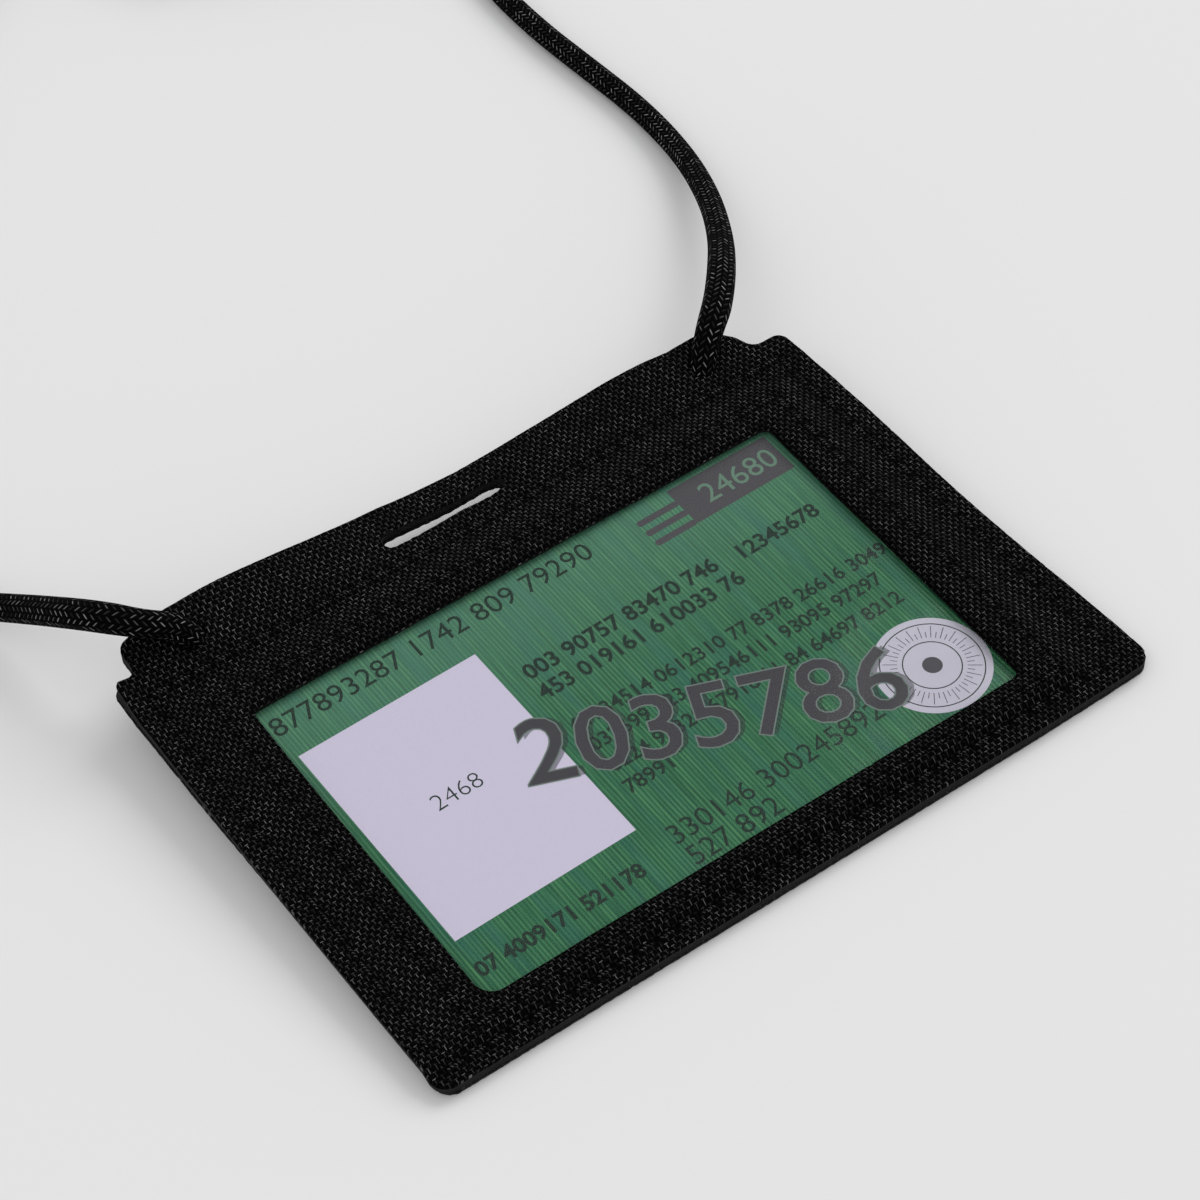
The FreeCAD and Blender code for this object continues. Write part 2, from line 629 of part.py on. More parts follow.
node_names = [
    "front_cloth", "front_backing", "window_film", "card", "rear_backing", "rear_cloth",
    "window_seam_needle_thread", "window_seam_bobbin_thread",
    "border_seam_needle_thread", "border_seam_bobbin_thread",
    "opening_hem_needle_thread", "opening_hem_bobbin_thread",
    "cord_left", "cord_coil", "cord_right", "coil_tie", "knot_left", "knot_right"]
failed = [item.Name for item in doc.Objects if {"Invalid", "Error"} & set(item.State)]
nodes = {name: doc.getObjectsByLabel(name)[0].Shape for name in node_names}
failed += [name for name, shape in nodes.items() if shape.isNull() or not shape.isValid()]
if failed:
    raise RuntimeError("failed: " + ", ".join(failed))
os.makedirs("parts", exist_ok=True)
for name, shape in nodes.items():
    shape.exportStep("parts/%s.step" % name)
    box = shape.BoundBox
    print("%-28s solids %3d volume %9.2f  x %.2f..%.2f  y %.2f..%.2f  z %.2f..%.2f"
          % (name, len(shape.Solids), shape.Volume, box.XMin, box.XMax,
             box.YMin, box.YMax, box.ZMin, box.ZMax))
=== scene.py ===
import math
import random
import bmesh
import bpy
import numpy as np
from mathutils import Matrix, Vector
from mathutils.geometry import delaunay_2d_cdt
from mathutils.kdtree import KDTree


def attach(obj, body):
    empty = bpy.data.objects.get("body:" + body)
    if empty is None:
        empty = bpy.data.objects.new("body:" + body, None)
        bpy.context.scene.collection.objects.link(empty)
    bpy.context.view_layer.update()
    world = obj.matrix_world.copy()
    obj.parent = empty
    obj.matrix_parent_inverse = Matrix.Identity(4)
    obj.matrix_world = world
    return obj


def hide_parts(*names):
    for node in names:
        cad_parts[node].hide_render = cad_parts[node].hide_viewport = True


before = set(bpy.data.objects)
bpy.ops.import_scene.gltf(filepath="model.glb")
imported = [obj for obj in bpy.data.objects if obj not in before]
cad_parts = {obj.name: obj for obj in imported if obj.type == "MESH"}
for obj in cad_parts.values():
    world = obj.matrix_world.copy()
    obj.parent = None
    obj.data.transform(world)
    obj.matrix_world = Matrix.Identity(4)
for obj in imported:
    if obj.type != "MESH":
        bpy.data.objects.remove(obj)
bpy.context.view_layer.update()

scene = bpy.context.scene
mm = 0.001
flatUnit = 100.0  # millimetres to one unit of a piece's flat map
upwards = Vector((0, 0, 1))

# Lie of the holder: drawn flat round the window's middle in millimetres, then
# tilted on its lower edge and the two knots.
lie = {
    "tilt": 4.0,
    "lowerEdge": -33.0,
    "headerEdge": 44.6,
    "borderTop": 1.9,
    "shiftAcross": -1.7,
}
lieAngle = math.radians(lie["tilt"])
lieHeight = lie["headerEdge"] - lie["lowerEdge"]
lieShiftUp = (lie["borderTop"] * math.sin(lieAngle) - lieHeight * math.cos(lieAngle)) / 2
holderMatrix = (
    Matrix.Scale(mm, 4)
    @ Matrix.Translation((lie["shiftAcross"], lieShiftUp, 0))
    @ Matrix.Rotation(lieAngle, 4, "X")
    @ Matrix.Translation((0, -lie["lowerEdge"], 0))
)


def addObject(name, data):
    thing = bpy.data.objects.new(name, data)
    scene.collection.objects.link(thing)
    return thing


def spoke(turns):
    # unit vector in the plane after so many full turns
    angle = 2 * math.pi * turns
    return Vector((math.cos(angle), math.sin(angle)))


def plainMesh(thing, name):
    # the evaluated shape of an object as a new mesh of its own
    bpy.context.view_layer.update()
    graph = bpy.context.evaluated_depsgraph_get()
    mesh = bpy.data.meshes.new_from_object(thing.evaluated_get(graph), depsgraph=graph)
    mesh.name = name
    return mesh


# Camera
camera = {
    "place": (-0.13892, -0.22854, 0.30288),
    "forward": (0.3508, 0.5853, -0.7310),
    "up": (0.4601, 0.5721, 0.6789),
    "lens": 96.0,
    "sensor": 36.0,
}


def makeCamera(own):
    data = bpy.data.cameras.new("camera")
    data.sensor_width = own["sensor"]
    data.sensor_fit = "HORIZONTAL"
    data.lens = own["lens"]
    back = -Vector(own["forward"]).normalized()
    right = Vector(own["up"]).cross(back).normalized()
    turn = Matrix((right, back.cross(right), back)).transposed()
    scene.camera = addObject("camera", data)
    scene.camera.matrix_world = Matrix.Translation(own["place"]) @ turn.to_4x4()


makeCamera(camera)
print("camera set")


# Node helpers
def mathCall(operation):
    # a method that stands for one math node
    def call(self, *others):
        return self.nodes.math(operation, self, *others)
    return call


class Value:  # a node's output, for use in sums
    def __init__(self, nodes, socket):
        self.nodes = nodes
        self.socket = socket

    __add__ = mathCall("ADD")
    __sub__ = mathCall("SUBTRACT")
    __mul__ = mathCall("MULTIPLY")
    __truediv__ = mathCall("DIVIDE")
    __mod__ = mathCall("FLOORED_MODULO")
    __pow__ = mathCall("POWER")
    __abs__ = mathCall("ABSOLUTE")
    floor = mathCall("FLOOR")
    fract = mathCall("FRACT")
    sine = mathCall("SINE")

    def band(self, low, high):
        # eases from 0 at low to 1 at high
        places = {"Value": self, "From Min": low, "From Max": high}
        return self.nodes.node("ShaderNodeMapRange", places, interpolation_type="SMOOTHSTEP")

    def fade(self, low, high):
        # eases from 1 at low to 0 at high
        return self.nodes.math("SUBTRACT", 1.0, self.band(low, high))


class Nodes:  # short calls for building one node tree
    def __init__(self, tree):
        self.tree = tree

    def plug(self, value, socket):
        if isinstance(value, Value):
            self.tree.links.new(value.socket, socket)
        elif socket.type == "RGBA":
            socket.default_value = (*value, 1)
        else:
            socket.default_value = value

    def node(self, kind, inputs=(), output=0, **options):
        made = self.tree.nodes.new(kind)
        for name, value in options.items():
            setattr(made, name, value)
        for name, value in dict(inputs).items():
            self.plug(value, made.inputs[name])
        return Value(self, made.outputs[output]) if made.outputs else None

    def math(self, operation, *values, clamp=False):
        return self.node("ShaderNodeMath", enumerate(values), operation=operation, use_clamp=clamp)

    def join(self, *parts):
        return self.node("ShaderNodeCombineXYZ", enumerate(parts))


class Shader(Nodes):  # the nodes of one new material
    def __init__(self, name):
        self.material = bpy.data.materials.new(name)
        self.material.use_nodes = True
        self.surface = self.material.node_tree.nodes["Principled BSDF"]
        super().__init__(self.material.node_tree)

    def noise(self, place, scale, detail=2.0, roughness=0.5):
        return self.node("ShaderNodeTexNoise", {
            "Vector": place, "Scale": scale, "Detail": detail, "Roughness": roughness})

    def random(self, *parts):
        # a value of its own for each whole place
        return self.node("ShaderNodeTexWhiteNoise", {"Vector": self.join(*parts)}, "Value",
                         noise_dimensions="3D")

    def ramp(self, factor, *stops):
        made = self.node("ShaderNodeValToRGB", {0: factor})
        band = made.socket.node.color_ramp.elements
        while len(band) < len(stops):
            band.new(0.5)
        for element, (place, colour) in zip(band, stops):
            element.position = place
            element.color = (*colour, 1)
        return made

    def mix(self, factor, first, second):
        return self.node("ShaderNodeMix", {0: factor, 6: first, 7: second}, 2, data_type="RGBA")

    def split(self, place):
        # a place's x and y, with the place itself
        parts = self.node("ShaderNodeSeparateXYZ", {0: place}).socket.node.outputs
        return Value(self, parts[0]), Value(self, parts[1]), place

    def flatPlace(self):
        # place on the piece's flat map in millimetres
        source = self.node("ShaderNodeUVMap", uv_map="flat")
        return self.split(self.node(
            "ShaderNodeVectorMath", {0: source, "Scale": flatUnit}, operation="SCALE"))

    def objectPlace(self, turn=0.0):
        # object coordinates in millimetres, turned about z
        source = self.node("ShaderNodeTexCoord", output="Object")
        return self.split(self.node("ShaderNodeMapping", {
            0: source, "Rotation": (0, 0, turn), "Scale": (1 / mm, 1 / mm, 1 / mm)}))

    def finish(self, colour, own, height=None):
        # the surface from its colour, its fixed values and the height that bumps it
        values = {"Base Color": colour, "Roughness": own["roughness"],
                  **own["surface"]}
        if "bump" in own:
            values["Normal"] = self.node("ShaderNodeBump", {
                "Height": height, "Distance": own["bump"],
                "Strength": own.get("bumpShare", 1.0)})
        for name, value in values.items():
            self.plug(value, self.surface.inputs[name])
        return self.material


def grainMaterial(name, own):
    # a colour that a fine noise varies between two
    shader = Shader(name)
    x, y, place = shader.flatPlace() if "onFlat" in own else shader.objectPlace()
    grain = shader.noise(place, *own["grain"])
    share = grain.band(*own["band"]) if "band" in own else grain
    colour = shader.mix(share, own["ground"], own["lit"])
    return shader.finish(colour, own, grain)


# Woven cloth of both leaves. Each float has its middle, and the two softened half
# widths across and along it.
cloth = {
    "yarnAcross": 0.525,
    "yarnAlong": 1.31,
    "floats": [(0.4, (0.0, 0.105), (0.14, 0.27)), (0.66, (0.3, 0.5), (0.0, 0.045))],
    "swell": (0.2, 0.08),
    "chance": (3.0, 0.75, 0.17),
    "wander": (0.35, 0.5),
    "patchNoise": (0.16, 3.0),
    "patchBand": (0.3, 0.7),
    "patchShine": (0.3, 0.75),
    "fuzzNoise": (3.6, 3.0, 0.7),
    "fuzzBand": (0.5, 0.72),
    "fuzzSheen": 0.045,
    "ground": (0.0005, 0.0005, 0.0006),
    "groundPatch": (0.00085, 0.00085, 0.00102),
    "lit": (0.27, 0.27, 0.274),
    "litGround": 0.012,
    "bump": 0.00008,
    "roughness": 0.9,
    "surface": {"Sheen Weight": 0.003, "Sheen Roughness": 0.4, "Specular IOR Level": 0.015},
}


def plainWeave(shader, x, y, own):
    # Plain weave: in each column a yarn's long float with the short float that
    # crosses it, half a repeat further on in the next column. Gives the yarns'
    # height and the lit line along the floats, each as bright as chance has it.
    column = x / own["yarnAcross"]
    columnIndex = column.floor()
    inColumn = abs(column.fract() - 0.5)
    row = columnIndex % 2.0 * 0.5 + y / own["yarnAlong"]
    rowIndex = row.floor()
    swellAcross, swellAlong = own["swell"]
    power, most, least = own["chance"]
    heights, lines = [], []
    for k, (middle, across, along) in enumerate(own["floats"]):
        away = abs(row.fract() - middle)
        heights.append(inColumn.fade(across[0], across[1] + swellAcross)
                       * away.fade(along[0], along[1] + swellAlong))
        chance = shader.random(columnIndex, rowIndex, float(k))
        lines.append(inColumn.fade(*across) * away.fade(*along) * (chance ** power * most + least))
    return shader.math("MAXIMUM", *heights), shader.math("MAXIMUM", *lines)


def clothMaterial(own):
    shader = Shader("wovenCloth")
    x, y, place = shader.flatPlace()
    scale, reach = own["wander"]
    wander = shader.noise(place, scale) * reach
    height, lines = plainWeave(shader, x + wander, y + wander, own)
    patch = shader.noise(place, *own["patchNoise"]).band(*own["patchBand"])
    # painted sheen: fine light specks of the cloth's fuzz, added to the floats' painted highlights
    fuzzSheen = shader.noise(place, *own["fuzzNoise"]).band(*own["fuzzBand"])
    # "dull" holds painted shade, which takes the painted highlights off in the seams' grooves and
    # along the window's rim
    dull = shader.node("ShaderNodeAttribute", output="Fac", attribute_name="dull")
    most, least = own["patchShine"]
    shine = lines * (patch * most + least) + fuzzSheen * own["fuzzSheen"]
    shine = shine * shader.math("SUBTRACT", 1.0, dull, clamp=True)
    ground = shader.mix(patch, own["ground"], own["groundPatch"])
    ground = shader.mix(height * own["litGround"], ground, own["lit"])
    colour = shader.mix(shine, ground, own["lit"])
    return shader.finish(colour, own, height)


# Smooth backing of both leaves, and their cut edges, where heat has sealed the yarns
lining = {
    "onFlat": True,
    "ground": (0.005, 0.005, 0.0055),
    "lit": (0.009, 0.009, 0.0099),
    "grain": (2.5, 4.0),
    "bump": 0.00002,
    "roughness": 0.5,
    "surface": {"Specular IOR Level": 0.2},
}
cutEdge = {
    "onFlat": True,
    "ground": (0.005, 0.005, 0.0053),
    "lit": (0.016, 0.016, 0.0165),
    "grain": (1.6, 4.0, 0.65),
    "band": (0.35, 0.7),
    "bump": 0.00006,
    "roughness": 0.7,
    "surface": {"Specular IOR Level": 0.12},
}

# Sewing thread
thread = {
    "ground": (0.0012, 0.0012, 0.0013),
    "lit": (0.12, 0.12, 0.122),
    "twist": 0.5,
    "glint": 3.0,
    "glintNoise": 0.9,
    "glintBand": (0.1, 0.75),
    "bump": 0.00008,
    "roughness": 0.8,
    "surface": {"Specular IOR Level": 0.06},
}


def threadMaterial(own):
    shader = Shader("sewingThread")
    x, y, place = shader.objectPlace()
    twist = ((x + y) * (2 * math.pi / own["twist"])).sine() * 0.5 + 0.5
    glint = twist ** own["glint"] * shader.noise(place, own["glintNoise"])
    colour = shader.mix(glint.band(*own["glintBand"]), own["ground"], own["lit"])
    return shader.finish(colour, own, twist)


# Braided neck cord, whose flat map holds the place along it and round it
braid = {
    "pitch": 0.93,
    "rows": 14,
    "aroundShare": 0.95,
    "lean": 0.8,
    "rowShift": 0.37,
    "yarnFall": 3.4,
    "endFall": 2.6,
    "ridge": (0.04, 0.12),
    "ridgeEnds": (0.2, 0.42),
    "chance": (2.0, 0.85, 0.03),
    "ground": (0.0004, 0.0004, 0.0005),
    "lit": (0.34, 0.335, 0.325),
    "litGround": 0.008,
    "bump": 0.00014,
    "roughness": 0.85,
    "surface": {"Sheen Weight": 0.003, "Specular IOR Level": 0.015},
}


def braidMaterial(own, diameter):
    # short slanting yarns in rows that lean in turn one way and the other, each
    # with a highlight down it that is as bright as chance has it
    shader = Shader("braidedCord")
    x, y, place = shader.flatPlace()
    row = y / (math.pi * diameter * own["aroundShare"] / own["rows"])
    rowIndex = row.floor()
    inRow = row.fract() - 0.5
    lean = rowIndex % 2.0 * (2.0 * own["lean"]) - own["lean"]
    slanted = inRow * lean + (rowIndex * own["rowShift"] + x / own["pitch"])
    inYarn = slanted.fract() - 0.5
    height = shader.math("SUBTRACT", 1.0, inYarn * inYarn * own["yarnFall"], clamp=True)
    ends = shader.math("SUBTRACT", 1.0, inRow * inRow * own["endFall"])
    height = height * ends
    ridge = abs(inYarn).fade(*own["ridge"]) * abs(inRow).fade(*own["ridgeEnds"])
    power, most, least = own["chance"]
    shine = ridge * (shader.random(slanted.floor(), rowIndex) ** power * most + least)
    ground = shader.mix(height * own["litGround"], own["ground"], own["lit"])
    colour = shader.mix(shine, ground, own["lit"])
    return shader.finish(colour, own, height)


# The neck cord: from inside the left knot, up through its hole, over the
# header to the table, round the coil, and back to the right knot.
tableLevel = 1.75
cord = {
    "diameter": 3.5,
    "leftRoute": [
        (-41.1, 33.6, 6.3), (-41.3, 33.6, 8.3), (-43.3, 34.7, 11.6), (-46.8, 35.6, 13.4),
        (-49.9, 38.4, 14.2), (-52.7, 43.0, 13.1), (-55.8, 52.6, 7.9), (-60.6, 62.3, 3.7),
        (-63.2, 75.3, 1.9),
        (-62.6, 89.6, tableLevel), (-57.8, 105.5, tableLevel), (-50.4, 121.0, tableLevel),
        (-41.8, 136.5, tableLevel), (-30.8, 152.5, tableLevel), (-16.0, 168.0, tableLevel),
        (0.5, 182.0, tableLevel), (16.5, 196.5, tableLevel)],
    "rightRoute": [
        (37.6, 33.8, 5.4), (37.9, 33.8, 7.0), (39.3, 34.9, 9.8), (41.7, 36.6, 11.7),
        (44.6, 38.9, 12.2), (49.5, 44.6, 11.8), (55.9, 53.7, 8.3), (61.6, 64.4, 5.4),
        (66.4, 77.4, 2.5), (68.2, 90.8, tableLevel),
        (67.8, 104.4, tableLevel), (67.4, 117.0, tableLevel), (68.2, 131.0, tableLevel),
        (71.3, 148.0, tableLevel), (73.2, 162.0, 3.4)],
    "leftExit": (-41.3, 33.7, 9.3),
    "drawnShare": 0.98,
    "fuller": 0.2,
    "fullerHigh": 0.7,
    "fullerPlace": {"Left": 15.0, "Right": 12.0},
    "fullerStart": 6.0,
    "fullerEnd": {"Left": 28.0, "Right": 18.0},
    "splineSteps": 12,
    "splineOrder": 3,
    "step": 0.55,
    "sides": 20,
}
coil = {
    "middle": (51.0, 184.0),
    "level": 2.45,
    "radius": 23.0,
    "pitch": 4.0,
    "turns": 4.25,
    "ease": 0.25,
    "pointsPerTurn": 16,
    "leadIn": 14.0,
    "leadOut": 8.0,
}


def coilPoint(own, turn):
    # place after so many turns, clockwise from the coil's far side
    half = own["turns"] / 2
    fromMiddle = abs(turn - half)
    soft = own["ease"]
    if fromMiddle < soft:
        fromMiddle = (fromMiddle ** 2 + soft ** 2) / (2 * soft)
    radius = own["radius"] - own["pitch"] * (half - fromMiddle)
    climb = min(max((turn - half) / (2 * soft) + 0.5, 0), 1)
    level = own["level"] + own["pitch"] * climb * climb * (3 - 2 * climb)
    angle = 2 * math.pi * turn
    return Vector((own["middle"][0] + radius * math.sin(angle),
                   own["middle"][1] + radius * math.cos(angle), level))


def cordRoute(cordOwn, coilOwn):
    turns = coilOwn["turns"]
    count = round(turns * coilOwn["pointsPerTurn"])
    winding = [coilPoint(coilOwn, turns * k / count) for k in range(count + 1)]
    diameter = cordOwn["diameter"]
    heading = (winding[1] - coilPoint(coilOwn, -turns / count)).normalized()
    leaving = (coilPoint(coilOwn, turns + turns / count) - winding[-2]).normalized()
    entry = winding[0] - heading * diameter
    away = winding[-1] + leaving * diameter
    way = [Vector(point) for point in cordOwn["leftRoute"]]
    way += [entry - heading * coilOwn["leadIn"], entry]
    way += winding
    way += [away, away + leaving * coilOwn["leadOut"]]
    way += [Vector(point) for point in reversed(cordOwn["rightRoute"])]
    return [point * mm for point in way]


def splineLine(points, name, own):
    # points read from a NURBS spline that has these control points
    data = bpy.data.curves.new(name, "CURVE")
    data.dimensions = "3D"
    data.resolution_u = own["splineSteps"]
    spline = data.splines.new("NURBS")
    spline.points.add(len(points) - 1)
    for control, point in zip(spline.points, points):
        control.co = (*point, 1)
    spline.order_u = own["splineOrder"]
    spline.use_endpoint_u = True
    thing = addObject(name, data)
    mesh = plainMesh(thing, name)
    bpy.data.objects.remove(thing)
    return [vertex.co.copy() for vertex in mesh.vertices]


def evenLine(line, spacing):
    # the same line with points at even steps, and its length
    reach = [0.0]
    for here, there in zip(line, line[1:]):
        reach.append(reach[-1] + (there - here).length)
    count = max(round(reach[-1] / spacing), 2)
    places = np.linspace(0, reach[-1], count + 1)
    axes = [np.interp(places, reach, [point[axis] for point in line]) for axis in range(3)]
    return [Vector(point) for point in zip(*axes)], reach[-1]


# A tube's side is drawn a little towards level at each step, unless it stands steeply
levelling = {"least": 0.35, "kept": 0.9, "drawn": 0.1}


def tubeRings(line, section, sides, closed):
    # the vertices round a line, with its width and height at each share of the way
    count = len(line)
    vertices = []
    side = None
    for k, point in enumerate(line):
        before = line[k - 1] if closed or k > 0 else point
        after = line[(k + 1) % count] if closed or k < count - 1 else point
        tangent = (after - before).normalized()
        level = tangent.cross(upwards)
        side = level.normalized() if side is None else side
        side = (side - tangent * side.dot(tangent)).normalized()
        if level.length > levelling["least"]:
            drawn = math.copysign(levelling["drawn"], side.dot(level))
            side = side * levelling["kept"] + level.normalized() * drawn
            side = (side - tangent * side.dot(tangent)).normalized()
        up = side.cross(tangent)
        width, height = section(k / (count - 1))
        for j in range(sides):
            angle = 2 * math.pi * j / sides
            vertices.append(point + side * (width / 2 * math.cos(angle))
                            + up * (height / 2 * math.sin(angle)))
    return vertices


def sweepTube(name, line, section, sides, closed=False):
    # a tube along a line, whose flat map holds the place along it and round it
    count = len(line)
    vertices = tubeRings(line, section, sides, closed)
    reach = [0.0]
    for here, there in zip(line, line[1:] + line[:1]):
        reach.append(reach[-1] + (there - here).length)
    faces, corners = [], []
    for k in range(count if closed else count - 1):
        ring, following = k * sides, ((k + 1) % count) * sides
        for j in range(sides):
            nextSide = (j + 1) % sides
            faces.append((ring + j, ring + nextSide, following + nextSide, following + j))
            corners.append([(reach[k], j), (reach[k], j + 1),
                            (reach[k + 1], j + 1), (reach[k + 1], j)])
    if not closed:
        last = range((count - 1) * sides, count * sides)
        faces += [tuple(range(sides)), tuple(reversed(last))]
        corners.append([(0.0, j) for j in range(sides)])
        corners.append([(reach[count - 1], j) for j in reversed(range(sides))])
    mesh = bpy.data.meshes.new(name)
    mesh.from_pydata(vertices, [], faces)
    flat = mesh.uv_layers.new(name="flat")
    roundStep = math.pi * sum(section(0.5)) / 2 / sides
    scale = 1 / (mm * flatUnit)
    for polygon, places in zip(mesh.polygons, corners):
        polygon.use_smooth = len(places) == 4
        for loop, (along, j) in zip(polygon.loop_indices, places):
            flat.data[loop].uv = (along * scale, j * roundStep * scale)
    mesh.update()
    return mesh


def cordSection(own, length):
    # width and height: drawn thin in the holes and fuller where it comes out of them
    def section(share):
        side = "Left" if share < 0.5 else "Right"
        away = min(share, 1 - share) * length / mm - own["fullerPlace"][side]
        away /= own["fullerStart"] if away < 0 else own["fullerEnd"][side]
        fuller = own["fuller"] * math.exp(-away * away)
        width = own["diameter"] * (own["drawnShare"] + fuller)
        height = own["diameter"] * (own["drawnShare"] + own["fullerHigh"] * fuller)
        return width * mm, height * mm
    return section


def makeCord(own, coilOwn, braidOwn):
    route = splineLine(cordRoute(own, coilOwn), "cordRoute", own)
    line, length = evenLine(route, own["step"] * mm)
    mesh = sweepTube("neckCord", line, cordSection(own, length), own["sides"])
    mesh.materials.append(braidMaterial(braidOwn, own["diameter"]))
    thing = addObject("neckCord", mesh)
    print("cord: %.0f mm" % (length / mm))
    return thing, line, length


neckCord, cordLine, cordLength = makeCord(cord, coil, braid)
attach(neckCord, "holder")
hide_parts("cord_left", "cord_coil", "cord_right")


# Stopper knots behind the header: an overhand knot drawn tight, as a closed trefoil
knot = {
    "left": {"middle": (-41.1, 33.6), "thickness": 6.7, "turn": 0.4},
    "right": {"middle": (37.6, 33.8), "thickness": 5.95, "turn": 2.3},
    "across": 8.8,
    "cordHeight": 3.0,
    "cordWidth": 3.4,
    "steps": 120,
    "sides": 16,
}
trefoilReach = 3


def makeKnot(side, own, material):
    lay = own[side]
    spread = (own["across"] - own["cordWidth"]) / 2 / trefoilReach
    rise = (lay["thickness"] - own["cordHeight"]) / 2
    middle = Vector((*lay["middle"], lay["thickness"] / 2))
    line = []
    for k in range(own["steps"]):
        angle = 2 * math.pi * k / own["steps"]
        flat = Vector((math.sin(angle) + 2 * math.sin(2 * angle),
                       math.cos(angle) - 2 * math.cos(2 * angle)))
        flat.rotate(Matrix.Rotation(lay["turn"], 2))
        line.append((middle + Vector((*(flat * spread), -rise * math.sin(3 * angle)))) * mm)
    size = (own["cordWidth"] * mm, own["cordHeight"] * mm)
    mesh = sweepTube("knot" + side.title(), line, lambda share: size, own["sides"], True)
    mesh.materials.append(material)
    thing = addObject("knot" + side.title(), mesh)
    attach(thing, "holder")
    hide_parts("knot_" + side)
    return thing


knots = [makeKnot(side, knot, neckCord.data.materials[0]) for side in ("left", "right")]

# Strap that holds the coil's turns together
strap = {
    "turn": 5 / 8,
    "width": 4.0,
    "bevel": 0.16,
    "thickness": 0.5,
    "clearance": 0.2,
    "corner": 1.2,
    "cornerSteps": 8,
    "gap": 0.5,
}
strapLook = {
    "ground": (0.006, 0.006, 0.007),
    "lit": (0.04, 0.04, 0.042),
    "grain": (3.5, 4.0, 0.7),
    "bump": 0.0003,
    "roughness": 0.9,
    "surface": {"Sheen Weight": 0.3},
}


def recalculate(mesh):
    # turns every face outwards
    work = bmesh.new()
    work.from_mesh(mesh)
    bmesh.ops.remove_doubles(work, verts=work.verts, dist=1e-7)
    bmesh.ops.recalc_face_normals(work, faces=work.faces)
    work.to_mesh(mesh)
    work.free()


def makeStrap(own, cordOwn, coilOwn):
    half = cordOwn["diameter"] + own["clearance"] + own["gap"] / 2
    corner, steps, thick = own["corner"], own["cornerSteps"], own["thickness"]
    loop = []
    for cornerX, cornerY, start in ((1, 1, 0), (-1, 1, 1), (-1, -1, 2), (1, -1, 3)):
        for k in range(steps + 1):
            out = spoke((start + k / steps) / 4)
            loop.append((Vector((cornerX, cornerY)) * (half - corner) + out * corner, out))
    angle = 2 * math.pi * own["turn"]
    outward = Vector((math.sin(angle), math.cos(angle), 0))
    along = outward.cross(upwards)
    middle = (coilPoint(coilOwn, own["turn"])
              + coilPoint(coilOwn, own["turn"] + 1)) / 2
    middle.z = thick + half
    inner = own["width"] / 2
    outer = inner - own["bevel"]
    vertices, faces = [], []
    for place, out in loop:
        for grow, across in ((0, -inner), (0, inner), (thick, outer), (thick, -outer)):
            x, y = place + out * grow
            vertices.append((middle + outward * x + upwards * y + along * across) * mm)
    for k in range(len(loop)):
        a, b = 4 * k, 4 * ((k + 1) % len(loop))
        for j in range(4):
            faces.append((a + j, a + (j + 1) % 4, b + (j + 1) % 4, b + j))
    mesh = bpy.data.meshes.new("coilStrap")
    mesh.from_pydata(vertices, [], faces)
    mesh.materials.append(grainMaterial("tieStrap", strapLook))
    thing = addObject("coilStrap", mesh)
    recalculate(mesh)
    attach(thing, "holder")
    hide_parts("coil_tie")
    return thing


coilStrap = makeStrap(strap, cord, coil)
print("cord, knots and strap made")


